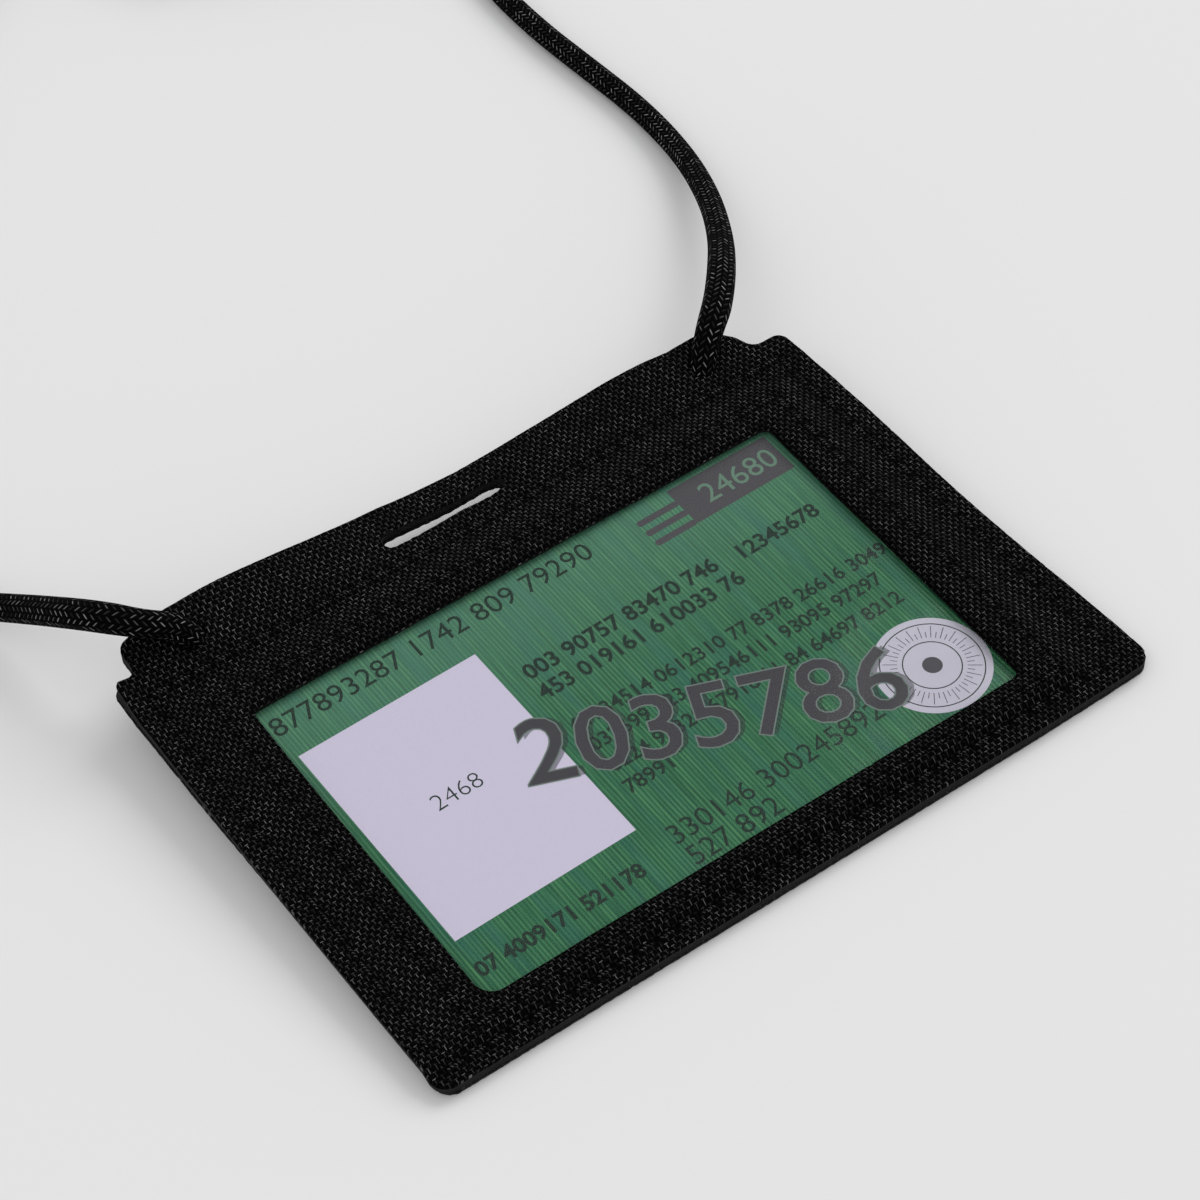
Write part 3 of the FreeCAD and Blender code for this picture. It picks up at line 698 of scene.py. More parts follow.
# The two leaves, each a woven cloth with a backing. Their sides are given as places
# along each, their corners as places with the radius that rounds them. Falls, mouth
# and ends have an axis, a start and a run on it, and the sides' fades a start and a
# run. A wave has its share, and two sines of x, y and a phase.
leaf = {
    "window": (-39.8, -25.75, 40.0, 26.0),
    "windowThin": 0.42,
    "windowThinReach": 1.1,
    "windowCorners": (2.6, 1.0, 1.2, 0.9),
    "corners": [
        ((-51.2, -33.0), 2.2), ((55.0, -33.0), 2.2), ((51.7, 38.9), 1.5),
        ((47.7, 38.9), 2.0), ((46.4, 41.5), 2.0), ((43.4, 44.6), 4.2),
        ((-42.5, 44.6), 6.0), ((-49.0, 43.2), 1.7), ((-48.7, 39.2), 1.0), ((-51.2, 38.9), 1.0)],
    "headerCorner": 6,
    "frontLeft": [(-33, -50.9), (-26, -51.1), (-14, -51.38), (2, -51.66), (18, -51.76),
                  (28, -51.85), (39, -51.9)],
    "rearLeft": [(-33, -50.4), (-14, -50.7), (2, -51.1), (20, -51.6), (31, -51.75), (39, -52.25)],
    "right": [(-33, 55.65), (-26, 55.35), (-18, 54.93), (-10, 54.3), (-2, 53.86), (6, 53.68),
              (14, 53.6), (22, 53.5), (30, 53.3), (34, 52.95), (39, 52.1)],
    "lower": [(-52, -32.95), (-30, -33.06), (-6, -33.22), (18, -33.33), (38, -33.42),
              (48, -33.3), (56, -33.1)],
    "header": [(-43, 44.6), (-36, 44.88), (-27, 44.96), (-18, 45.26), (-9, 45.48), (-3, 45.18),
               (3, 44.96), (12, 45.04), (27, 45.16), (33, 44.88), (37, 44.42), (42, 44.6)],
    "sideFades": {"left": (-45, -5), "right": (47.5, 3), "lower": (-28, -4), "upper": (42, 2)},
    "leftTop": 39,
    "bend": 32.5,
    "bendSoftness": 1.6,
    "bendReach": 12.0,
    "leftLift": 3.8,
    "rightLift": 1.9,
    "liftStill": 2.0,
    "liftFull": 38.0,
    "slotMiddle": (-2.2, 39.8),
    "slotLength": 19.0,
    "slotWidth": 2.8,
    "slotSteps": 10,
    "slotShape": [(0, 0.9), (0.25, 0.88), (0.6, 0.66), (0.86, 0.8), (1, 0.5)],
    "holeClearance": 0.05,
    "holeStretch": 0.25,
    "holeSides": 24,
    "holeSearch": 40,
    "falls": [(0, 44.95, 4.2), (1, 30.25, 4.6), (1, -28.95, -1.8)],
    "rise": 1.26,
    "mouthRise": 0.85,
    "mouth": (0, -44.3, -3.0),
    "lip": 0.5,
    "lipEnds": [(0, -49.3, -2.2), (1, -22.0, 6.0)],
    "ripple": 0.07,
    "rippleBase": 1.4,
    "waves": [(1.0, (0.23, 0.11, 0.4), (-0.07, 0.17, 1.9)),
              (0.4, (0.51, -0.36, 0.0), (0.29, 0.44, 0.8))],
    "seamGroove": 0.15,
    "seamReach": 0.6,
    "seamDepths": (0.6, 0.4),
    # painted shade: the share of a groove's depth that is fully shaded, its reach from the
    # window's rim, and its share on the rim's other sides
    "grooveShade": 0.55,
    "rimShade": 0.75,
    "rimShadeElsewhere": 0.5,
    "pinches": [(-44.2, 33.4, 1.0, 0.4), (44.8, 33.0, 1.0, 0.4)],
    "edgeStep": 0.4,
}
levels = {
    "rearTop": 0.7,
    "pocketFloor": 0.9,
    "backingTop": 1.2,
    "borderTop": 1.9,
    "windowBobbin": 0.7,
    "borderBobbin": 0.15,
}
seams = {
    "window": [(-43.0, -28.3), (44.3, -28.3), (44.3, 29.6), (-43.0, 29.6), (-43.0, -28.3)],
    "border": [(-48.8, 32.5), (-48.8, 35.6), (49.447, 35.6), (52.489, -30.6), (-48.8, -30.6)],
    "hem": [(-48.8, 31.6), (-48.8, -30.3)],
    "stitchPitch": 3.0,
    "stitchGap": 0.55,
    "threadWidth": 0.46,
    "threadHeight": 0.32,
    "threadLift": 0.08,
    "threadSink": 0.28,
    "threadPoints": 9,
    "threadSides": 7,
}


def ease(value):
    value = np.clip(value, 0, 1)
    return value * value * (3 - 2 * value)


def headerLift(x, y, own):
    # how far the header stands over its flat place, over the knots
    most = np.where(x < 0, own["leftLift"], own["rightLift"])
    span = own["liftFull"] - own["liftStill"]
    across = ease((np.abs(x) - own["liftStill"]) / span)
    past = y - own["bend"]
    up = (past + np.sqrt(past * past + own["bendSoftness"] ** 2)) / 2
    up = np.where(past < -own["bendReach"], 0.0, up)
    return most * across * up / (lie["headerEdge"] - own["bend"])


def pocketRise(x, y, own):
    # the front leaf stands over the card and film, dips at the mouth on the left,
    # falls to the border seam elsewhere, and its lip curls up at the top left
    def past(axis, start, run):
        return ease(((x, y)[axis] - start) / run)

    most = own["rise"] + (own["mouthRise"] - own["rise"]) * past(*own["mouth"])
    for fall in own["falls"]:
        most = most * (1 - past(*fall))
    lip = own["lip"]
    for end in own["lipEnds"]:
        lip = lip * past(*end)
    return np.maximum(most, lip)


def clothRipple(x, y, own):
    # the slow unevenness of stiffened cloth, always upwards
    height = own["rippleBase"]
    for share, (a, b, c), (d, e, f) in own["waves"]:
        height = height + share * np.sin(a * x + b * y + c) * np.sin(d * x + e * y + f)
    return own["ripple"] * height


def alongRun(x, y, start, end):
    # distance from points to a straight run, and how far along it they are
    run = np.array(end) - np.array(start)
    share = np.clip(((x - start[0]) * run[0] + (y - start[1]) * run[1]) / (run @ run), 0, 1)
    away = np.hypot(x - start[0] - share * run[0], y - start[1] - share * run[1])
    return away, share * math.hypot(*run)


def stitchCount(start, end):
    return max(round(math.dist(start, end) / seams["stitchPitch"]), 1)


def seamGrooves(x, y, own):
    # the groove that the stitches pull into the cloth, deepest at their ends
    least, swing = own["seamDepths"]
    dip = np.zeros_like(x)
    for name in ("window", "border", "hem"):
        for start, end in zip(seams[name], seams[name][1:]):
            away, along = alongRun(x, y, start, end)
            pitch = math.dist(start, end) / stitchCount(start, end)
            depth = least + swing * np.cos(2 * math.pi * along / pitch)
            near = away / own["seamReach"]
            dip = np.maximum(dip, own["seamGroove"] * depth * np.exp(-near * near))
    return dip


def windowAway(x, y, own):
    # distance from the window
    left, lower, right, upper = own["window"]
    return np.hypot(np.maximum(np.maximum(left - x, x - right), 0),
                    np.maximum(np.maximum(lower - y, y - upper), 0))


def clothDips(x, y, own):
    # the seams' grooves, the thinner rim of the window, and the pinches at the
    # ends of the bend
    dip = seamGrooves(x, y, own)
    near = windowAway(x, y, own) / own["windowThinReach"]
    dip = np.maximum(dip, own["windowThin"] * np.exp(-near * near))
    for middleX, middleY, reach, depth in own["pinches"]:
        near = np.hypot(x - middleX, y - middleY) / reach
        dip = np.maximum(dip, depth * np.exp(-near * near))
    return dip


def paintedShade(x, y, own):
    # where painted shade takes the painted sheen off the cloth: in the seams' grooves and on the
    # window's rim, most of all to the right of it and above it
    full = own["grooveShade"] * own["seamGroove"]
    near = windowAway(x, y, own) / own["rimShade"]
    shadedSides = (x > own["window"][2]) | (y > own["window"][3])
    rim = np.where(shadedSides, 1.0, own["rimShadeElsewhere"]) * np.exp(-near * near)
    return np.clip(seamGrooves(x, y, own) / full, 0, 1) + rim


def cornerArc(before, corner, after, radius, count=8):
    # points of the arc that rounds a corner
    before, corner, after = Vector(before), Vector(corner), Vector(after)
    back, ahead = (before - corner).normalized(), (after - corner).normalized()
    half = back.angle(ahead) / 2
    middle = corner + (back + ahead).normalized() * (radius / math.sin(half))
    start = corner + back * (radius / math.tan(half)) - middle
    end = corner + ahead * (radius / math.tan(half)) - middle
    turn = start.angle_signed(end)
    points = []
    for k in range(count + 1):
        arm = start.copy()
        arm.rotate(Matrix.Rotation(-turn * k / count, 2))
        points.append(tuple(middle + arm))
    return points


def cornerArcs(corners, count=8):
    # the arcs of a loop of corners that each have their own radius
    points = []
    for k, (corner, radius) in enumerate(corners):
        after = corners[(k + 1) % len(corners)][0]
        points += cornerArc(corners[k - 1][0], corner, after, radius, count)
    return points


def evenLoop(points, step):
    # a closed loop with points about every step
    loop = []
    for here, there in zip(points, points[1:] + points[:1]):
        here, there = Vector(here), Vector(there)
        count = max(round((there - here).length / step), 1)
        loop += [tuple(here.lerp(there, k / count)) for k in range(count)]
    return loop


def boxCorners(left, lower, right, upper, grow=0.0):
    left, lower, right, upper = left - grow, lower - grow, right + grow, upper + grow
    return [(left, lower), (right, lower), (right, upper), (left, upper)]


def tableAt(table, place):
    # a table's value at a place
    return float(np.interp(place, [row[0] for row in table], [row[1] for row in table]))


def frayed(dice, x, y, fray):
    return x + dice.uniform(-fray, fray), y + dice.uniform(-fray, fray)


def leafOutline(own, leftSide, fray, seed):
    # the corners' outline, moved onto the curved sides
    (left, lower), (right, _), (rightUpper, shoulder) = (row[0] for row in own["corners"][:3])
    upper = own["corners"][own["headerCorner"]][0][1]
    dice = random.Random(seed)

    def near(side, place):
        start, run = own["sideFades"][side]
        return min(max((place - start) / run, 0), 1)

    shaped = []
    for x, y in evenLoop(cornerArcs(own["corners"]), own["edgeStep"]):
        nearLeft = near("left", x) if y < own["leftTop"] else 0
        straight = rightUpper + (right - rightUpper) * (shoulder - y) / (shoulder - lower)
        newX = x + nearLeft * (tableAt(leftSide, y) - left)
        newX += near("right", x) * (tableAt(own["right"], y) - straight)
        newY = y + near("lower", y) * (tableAt(own["lower"], x) - lower)
        newY += near("upper", y) * (tableAt(own["header"], x) - upper)
        shaped.append(frayed(dice, newX, newY, fray))
    return shaped


def windowLoop(own, grow=0.0):
    corners = zip(boxCorners(*own["window"], grow), own["windowCorners"])
    return evenLoop(cornerArcs(list(corners)), own["edgeStep"])


def slotLoop(own, fray, seed):
    # the clip slot, cut by hand: widest at its left end, narrow past its middle
    dice = random.Random(seed)
    middleX, middleY = own["slotMiddle"]
    radius = own["slotWidth"] / 2
    reach = own["slotLength"] / 2 - radius
    points = []
    for end, start in ((1, -90), (-1, 90)):
        for k in range(own["slotSteps"] + 1):
            angle = math.radians(start + 180 / own["slotSteps"] * k)
            points.append((middleX + end * reach + radius * math.cos(angle),
                           middleY + radius * math.sin(angle)))
    loop = []
    for x, y in evenLoop(points, own["edgeStep"]):
        share = (x - middleX) / own["slotLength"] + 0.5
        y = middleY + (y - middleY) * tableAt(own["slotShape"], share)
        loop.append(frayed(dice, x, y, fray))
    return loop


def holeLoop(line, radius, level, own):
    # where the cord passes a level of the leaf, stretched the way that it leans
    inverse = holderMatrix.inverted()
    places = [inverse @ point for point in line[:own["holeSearch"]]]
    for before, after in zip(places, places[1:]):
        lift = float(headerLift(np.array(after.x), np.array(after.y), own))
        if after.z > level + lift:
            break
    lean = (after - before) / (after.z - before.z)
    lean = Vector((lean.x, lean.y))
    loop = []
    for k in range(own["holeSides"]):
        out = spoke(k / own["holeSides"])
        leaning = lean.length * abs(out.dot(lean.normalized()))
        reach = radius * (1 + leaning * own["holeStretch"])
        loop.append((after.x + out.x * reach, after.y + out.y * reach))
    return loop


def cordHoles(level):
    radius = cord["diameter"] / 2 + leaf["holeClearance"]
    return [holeLoop(line, radius, level, leaf) for line in (cordLine, cordLine[::-1])]


def insideLoop(x, y, loop):
    # which points lie inside a closed loop
    inside = np.zeros(x.shape, bool)
    for (x1, y1), (x2, y2) in zip(loop, loop[1:] + loop[:1]):
        if y1 != y2:
            crosses = (y1 > y) != (y2 > y)
            inside ^= crosses & (x < (x2 - x1) * (y - y1) / (y2 - y1) + x1)
    return inside


def insideSheet(x, y, loops):
    # which points lie inside the first loop and outside the others
    inside = insideLoop(x, y, loops[0])
    for hole in loops[1:]:
        inside &= ~insideLoop(x, y, hole)
    return inside


def pulledIn(loop, amount):
    # a loop moved to its left side by an amount
    moved = []
    for k, (x, y) in enumerate(loop):
        ahead = Vector(loop[(k + 1) % len(loop)]) - Vector(loop[k - 1])
        ahead.normalize()
        moved.append((x - ahead.y * amount, y + ahead.x * amount))
    return moved


edgeClearShare = 0.45  # of the grid's spacing, kept free beside a sheet's edges
sameWithin = 1e-5  # millimetres between points of a sheet that count as one
matchDecimals = 4  # by which a point of a sheet's edge is found again


def flatTriangles(loops, spacing):
    # points and triangles that fill the first loop and leave the others open
    points, edges = [], []
    for loop in loops:
        first = len(points)
        points += loop
        edges += [(first + k, first + (k + 1) % len(loop)) for k in range(len(loop))]
    tree = KDTree(len(points))
    for k, (x, y) in enumerate(points):
        tree.insert((x, y, 0), k)
    tree.balance()
    xs, ys = (np.arange(min(side), max(side), spacing) for side in zip(*points))
    gridX, gridY = (axis.ravel() for axis in np.meshgrid(xs, ys))
    keep = insideSheet(gridX, gridY, loops)
    for x, y in zip(gridX[keep], gridY[keep]):
        if tree.find((x, y, 0))[2] > spacing * edgeClearShare:
            points.append((float(x), float(y)))
    found = delaunay_2d_cdt([Vector(point) for point in points], edges, [], 0, sameWithin)
    x = np.array([point.x for point in found[0]])
    y = np.array([point.y for point in found[0]])
    corners = np.array([tuple(face) for face in found[2]])
    corners = corners[insideSheet(x[corners].mean(1), y[corners].mean(1), loops)]
    a, b, c = corners.T
    upright = (x[b] - x[a]) * (y[c] - y[a]) - (x[c] - x[a]) * (y[b] - y[a]) > 0
    return x, y, np.where(upright[:, None], corners, corners[:, ::-1])


def makeSheet(own, outline, holes):
    # a closed sheet between two height functions, with softened cut edges
    name, edgeRound = own["name"], own["edgeRound"]
    loops = [outline] + [list(reversed(hole)) for hole in holes]
    drawn = [pulledIn(loop, edgeRound) for loop in loops]
    x, y, corners = flatTriangles(drawn, own["spacing"])
    top, bottom = own["over"](x, y), own["under"](x, y)
    count = len(x)
    places = list(zip(x, y, top)) + list(zip(x, y, bottom))
    maps = list(zip(x, y)) * 2
    faces = [tuple(face) for face in corners.tolist()]
    used = {(p, q) for face in faces for p, q in zip(face, face[1:] + face[:1])}
    faces += [(c + count, b + count, a + count) for a, b, c in faces]
    outerOf = {}
    wallAt = {}

    def rounded(place):
        return tuple(round(float(part), matchDecimals) for part in place)

    for loop, pulled in zip(loops, drawn):
        for outer, inner in zip(loop, pulled):
            outerOf[rounded(inner)] = outer

    def wallVertices(k):
        # two vertices on the wall beside an edge vertex
        if k not in wallAt:
            outer = outerOf.get(rounded((x[k], y[k])), (x[k], y[k]))
            wallAt[k] = len(places)
            thick = top[k] - bottom[k]
            soften = min(edgeRound, thick / 3)
            for level, drop in ((top[k] - soften, soften), (bottom[k] + soften, thick - soften)):
                places.append((*outer, level))
                maps.append((outer[0] + drop, outer[1] + drop))
        return wallAt[k], wallAt[k] + 1

    walls = []
    for p, q in sorted(used):
        if (q, p) not in used:
            (pHigh, pLow), (qHigh, qLow) = wallVertices(p), wallVertices(q)
            faces.append((q, p, pHigh, qHigh))
            walls += [(qHigh, pHigh, pLow, qLow), (qLow, pLow, p + count, q + count)]
    mesh = bpy.data.meshes.new(name)
    mesh.from_pydata([holderMatrix @ Vector(place) for place in places], [], faces + walls)
    flat = mesh.uv_layers.new(name="flat")
    for loop in mesh.loops:
        u, v = maps[loop.vertex_index]
        flat.data[loop.index].uv = (u / flatUnit, v / flatUnit)
    for polygon in mesh.polygons:
        polygon.use_smooth = True
        polygon.material_index = 1 if polygon.index >= len(faces) else 0
    # painted shade of the seams' grooves and the window's rim, kept as "dull" for the cloth's
    # material
    dull = paintedShade(x, y, leaf) if name == "frontLeaf" else 0 * x
    store = mesh.attributes.new("dull", "FLOAT", "POINT")
    store.data.foreach_set("value", np.pad(dull, (0, len(places) - count)))
    mesh.update()
    return addObject(name, mesh)


def loopArea(loop):
    pairs = zip(loop, loop[1:] + loop[:1])
    return abs(sum(x1 * y2 - x2 * y1 for (x1, y1), (x2, y2) in pairs)) / 2


def frontLevel(level, dips=0.0):
    def height(x, y):
        flat = level + pocketRise(x, y, leaf) + headerLift(x, y, leaf)
        return flat + clothRipple(x, y, leaf) - dips * clothDips(x, y, leaf)
    return height


def rearLevel(level):
    def height(x, y):
        return level + headerLift(x, y, leaf)
    return height


clothLook = clothMaterial(cloth)
liningLook = grainMaterial("liningCloth", lining)
edgeLook = grainMaterial("sealedEdge", cutEdge)
frontTop = frontLevel(levels["borderTop"], 1.0)

# Each sheet's left side is moved in and its window grown where a backing stands back
# from the cloth, and the cord's holes are where the cord passes its hole level.
sheets = [
    {"name": "frontLeaf", "node": "front_cloth", "slot": "woven_cloth", "look": clothLook,
     "left": "frontLeft", "leftIn": 0.0, "fray": 0.02, "seed": 3, "windowGrow": 0.0,
     "slotFray": 0.07, "slotSeed": 5, "holeLevel": 1.6, "spacing": 0.6, "edgeRound": 0.16,
     "under": frontLevel(levels["backingTop"]), "over": frontTop},
    {"name": "frontLining", "node": "front_backing", "slot": "cloth_backing", "look": liningLook,
     "left": "frontLeft", "leftIn": 0.05, "fray": 0.0, "seed": 0, "windowGrow": 0.12,
     "slotFray": 0.02, "slotSeed": 6, "holeLevel": 1.0, "spacing": 1.2, "edgeRound": 0.05,
     "under": frontLevel(levels["pocketFloor"]), "over": frontLevel(levels["backingTop"])},
    {"name": "rearLining", "node": "rear_backing", "slot": "cloth_backing", "look": liningLook,
     "left": "rearLeft", "leftIn": 0.1, "fray": 0.0, "seed": 0,
     "slotFray": 0.02, "slotSeed": 7, "holeLevel": 0.8, "spacing": 1.5, "edgeRound": 0.05,
     "under": rearLevel(levels["rearTop"]), "over": rearLevel(levels["pocketFloor"])},
    {"name": "rearLeaf", "node": "rear_cloth", "slot": "woven_cloth", "look": clothLook,
     "left": "rearLeft", "leftIn": 0.0, "fray": 0.032, "seed": 9,
     "slotFray": 0.07, "slotSeed": 8, "holeLevel": 0.3, "spacing": 0.9, "edgeRound": 0.12,
     "under": rearLevel(0.0), "over": rearLevel(levels["rearTop"])},
]
for sheet in sheets:
    leftSide = [(y, x + sheet["leftIn"]) for y, x in leaf[sheet["left"]]]
    outline = leafOutline(leaf, leftSide, sheet["fray"], sheet["seed"])
    holes = [slotLoop(leaf, sheet["slotFray"], sheet["slotSeed"])] + cordHoles(sheet["holeLevel"])
    if "windowGrow" in sheet:
        holes.insert(0, windowLoop(leaf, sheet["windowGrow"]))
    thing = makeSheet(sheet, outline, holes)
    thing.data.materials.append(sheet["look"])
    thing.data.materials.append(edgeLook)
    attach(thing, "holder")
    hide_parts(sheet["node"])
    flatArea = loopArea(outline) - sum(loopArea(hole) for hole in holes)
print("leaves made")


# Stitches: each is a short curved length of thread between two needle holes
def stitchTree(own):
    # makes a tube of each edge, whose ends sink along its "inward"
    tree = bpy.data.node_groups.new("stitchTree", "GeometryNodeTree")
    nodes = Nodes(tree)
    kinds = {"Geometry": "Geometry", "Width": "Float", "Height": "Float", "Sink": "Float",
             "Thread": "Material"}
    for name, kind in kinds.items():
        tree.interface.new_socket(name, in_out="INPUT", socket_type="NodeSocket" + kind)
    tree.interface.new_socket("Geometry", in_out="OUTPUT", socket_type="NodeSocketGeometry")
    given = {name: nodes.node("NodeGroupInput", output=name) for name in kinds}
    line = nodes.node("GeometryNodeMeshToCurve", {"Mesh": given["Geometry"]})
    line = nodes.node("GeometryNodeResampleCurve", {
        "Curve": line, "Count": own["threadPoints"]})
    share = nodes.node("GeometryNodeSplineParameter", output="Factor")
    sink = abs(share * 2.0 - 1.0) ** 4.0 * given["Sink"]
    inward = nodes.node("GeometryNodeInputNamedAttribute", {"Name": "inward"}, "Attribute",
                        data_type="FLOAT_VECTOR")
    offset = nodes.node("ShaderNodeVectorMath", {0: inward, "Scale": sink}, operation="SCALE")
    line = nodes.node("GeometryNodeSetPosition", {"Geometry": line, "Offset": offset})
    ring = nodes.node("GeometryNodeCurvePrimitiveCircle", {
        "Resolution": own["threadSides"], "Radius": 0.5})
    size = nodes.join(given["Height"], given["Width"], 1.0)
    ring = nodes.node("GeometryNodeTransform", {"Geometry": ring, "Scale": size})
    tube = nodes.node("GeometryNodeCurveToMesh", {
        "Curve": line, "Profile Curve": ring, "Fill Caps": True})
    tube = nodes.node("GeometryNodeRealizeInstances", {"Geometry": tube})
    tube = nodes.node("GeometryNodeSetMaterial", {"Geometry": tube, "Material": given["Thread"]})
    nodes.node("NodeGroupOutput", {"Geometry": tube})
    return tree


def makeStitches(name, node, way, surface, outward, tree, look):
    # stitches along a way, laid on a surface of the flat leaf
    inward = (holderMatrix.to_3x3() @ Vector((0, 0, -outward))).normalized()
    gap = seams["stitchGap"] / 2
    vertices, edges = [], []
    for start, end in zip(way, way[1:]):
        run = Vector(end) - Vector(start)
        count = stitchCount(start, end)
        pitch = run.length / count
        for k in range(count):
            for reach in (k * pitch + gap, (k + 1) * pitch - gap):
                place = Vector(start) + run.normalized() * reach
                level = float(surface(np.array(place.x), np.array(place.y)))
                level += outward * seams["threadLift"]
                vertices.append(holderMatrix @ Vector((place.x, place.y, level)))
            edges.append((len(vertices) - 2, len(vertices) - 1))
    mesh = bpy.data.meshes.new(name)
    mesh.from_pydata(vertices, edges, [])
    store = mesh.attributes.new("inward", "FLOAT_VECTOR", "POINT")
    store.data.foreach_set("vector", [part for _ in vertices for part in inward])
    thing = addObject(name, mesh)
    modifier = thing.modifiers.new("stitches", "NODES")
    modifier.node_group = tree
    values = {"Width": seams["threadWidth"] * mm, "Height": seams["threadHeight"] * mm,
              "Sink": seams["threadSink"] * mm, "Thread": look}
    for item in tree.interface.items_tree:
        if item.in_out == "INPUT" and item.name in values:
            modifier[item.identifier] = values[item.name]
    made = plainMesh(thing, name)
    thing.modifiers.clear()
    thing.data = made
    for polygon in made.polygons:
        polygon.use_smooth = True
    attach(thing, "holder")
    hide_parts(node)


rows = [
    ("windowStitches", "window_seam_needle_thread", "window", frontTop, 1),
    ("windowStitchesBehind", "window_seam_bobbin_thread", "window",
     frontLevel(levels["windowBobbin"]), -1),
    ("borderStitches", "border_seam_needle_thread", "border", frontTop, 1),
    ("borderStitchesBehind", "border_seam_bobbin_thread", "border",
     rearLevel(levels["borderBobbin"]), -1),
    ("hemStitches", "opening_hem_needle_thread", "hem", frontTop, 1),
    ("hemStitchesBehind", "opening_hem_bobbin_thread", "hem",
     frontLevel(levels["pocketFloor"]), -1),
]
threadLook = threadMaterial(thread)
threadTree = stitchTree(seams)
for name, node, seam, surface, outward in rows:
    makeStitches(name, node, seams[seam], surface, outward, threadTree, threadLook)
print("stitches made")


# The card: green stripes, and a print of digits, plain blocks, a field and a disc
cardFace = {
    "fine": (2.3, 3.0, 0.7),
    "fineStretch": 0.035,
    "broad": (0.3, 3.0),
    "broadStretch": 0.12,
    "linePitch": 0.55,
    "lineShare": 0.16,
    "green": [(0.25, (0.006, 0.08, 0.032)), (0.5, (0.016, 0.14, 0.058)),
              (0.8, (0.08, 0.27, 0.105))],
    "teal": (0.012, 0.125, 0.105),
    "tealBand": (0.45, 0.7),
    "tealShare": 0.45,
    "pale": (0.22, 0.44, 0.34),
    "paleBand": (-12.0, 26.0),
    "paleShare": 0.24,
    "roughness": 0.42,
    "surface": {"Specular IOR Level": 0.15},
}
ink = {"grain": (6.0, 3.0), "low": 0.9, "high": 1.08, "roughness": 0.5, "reflect": 0.1}
card = {
    "turn": 0.85,
    "level": 0.96,
    "thickness": 0.76,
    "inks": {
        "blankField": (0.697, 0.65, 0.815),
        "blankDisc": (0.6, 0.58, 0.68),
        "darkInk": (0.01, 0.028, 0.019),
        "overprint": (0.055, 0.05, 0.06),
        "overprintEdge": (0.17, 0.22, 0.2),
        "overprintShade": (0.045, 0.05, 0.06),
        "plainBlock": (0.078, 0.072, 0.083),
        "blockNumber": (0.14, 0.25, 0.18),
    },
    "alpha": {"overprintShade": 0.4},
    "levels": {"ground": 0.012, "rows": 0.016, "fine": 0.02, "shade": 0.022, "edge": 0.027,
               "overprint": 0.032},
    "field": (-38.2, -15.9, -11.8, 18.1),
    "disc": (32.6, -18.1, 7.6),
    "discSides": 72,
    "rings": (0.88, 0.5),
    "ringWidth": 0.02,
    "spot": 0.17,
    "ticks": 48,
    "tickWidth": 0.1,
    "tickStart": 0.58,
    "tickEnds": (0.7, 0.82),
    "blocks": [(23.6, 18.4, 39.7, 25.2), (17.2, 22.3, 23.6, 23.3), (17.2, 20.3, 23.6, 21.3),
               (17.2, 18.3, 23.6, 19.3)],
    "blockCorner": 0.3,
    "seed": 11,
    "digitWidth": 0.47,
    "digitSteps": 3,
    "groupSizes": (2, 9),
    "rows": [
        {"start": (-38.8, 22.0), "reach": 49.6, "size": 4.3},
        {"start": (-8.7, 10.5), "reach": 31.5, "size": 3.4, "bold": 0.08},
        {"start": (-9.0, 6.8), "reach": 32.4, "size": 3.4, "bold": 0.08},
        {"start": (-8.9, 0.4), "reach": 50.2, "size": 3.0, "bold": 0.05, "turn": -0.9},
        {"start": (-8.8, -3.4), "reach": 45.2, "size": 3.0, "bold": 0.05, "turn": -0.7},
        {"start": (-8.8, -7.4), "reach": 47.4, "size": 3.0, "bold": 0.05, "turn": -0.6},
        {"start": (-9.2, -11.2), "reach": 11.0, "size": 3.0, "bold": 0.05},
        {"start": (-9.4, -20.7), "reach": 32.6, "size": 4.2, "bold": -0.01},
        {"start": (-9.3, -24.5), "reach": 14.6, "size": 4.2, "bold": -0.01},
        {"start": (-38.6, -21.9), "reach": 28.0, "size": 3.0, "bold": 0.09},
    ],
    "numbers": [
        ("12345678", "darkInk", "rows", {"start": (24.2, 10.0), "size": 3.3, "bold": 0.08}),
        ("2468", "darkInk", "fine", {"start": (-29.3, 0.7), "size": 3.6, "bold": -0.06}),
        ("24680", "blockNumber", "fine", {"start": (26.9, 20.2), "size": 4.8}),
    ],
    "overprint": "2035786",
    "overprintRow": {"start": (-18.6, -2.6), "size": 14.2, "bold": 0.06, "turn": -22.4},
    "overprintOutline": 0.2,
    "shadeOffset": (0.75, -0.35),
}
cardMatrix = (
    holderMatrix
    @ Matrix.Translation((0, 0, card["level"]))
    @ Matrix.Rotation(math.radians(card["turn"]), 4, "Z")
)


def cardMaterial(own, turn):
    shader = Shader("printedCard")
    x, y, place = shader.objectPlace(-math.radians(turn))
    fine = shader.noise(shader.join(x, y * own["fineStretch"]), *own["fine"])
    broad = shader.noise(shader.join(x, y * own["broadStretch"]), *own["broad"])
    wave = (x * (2 * math.pi / own["linePitch"])).sine()
    colour = shader.ramp(wave * own["lineShare"] + fine, *own["green"])
    teal = broad.band(*own["tealBand"]) * own["tealShare"]
    colour = shader.mix(teal, colour, own["teal"])
    pale = y.band(*own["paleBand"]) * own["paleShare"]
    colour = shader.mix(pale, colour, own["pale"])
    return shader.finish(colour, own)


def inkMaterial(name, colour, alpha):
    low, high = (tuple(min(ink[end] * part, 1) for part in colour) for end in ("low", "high"))
    surface = {"Alpha": alpha, "Specular IOR Level": ink["reflect"]}
    return grainMaterial(name, {**ink, "ground": low, "lit": high, "surface": surface})


def outlineShape(outline):
    return outline, [range(len(outline))]


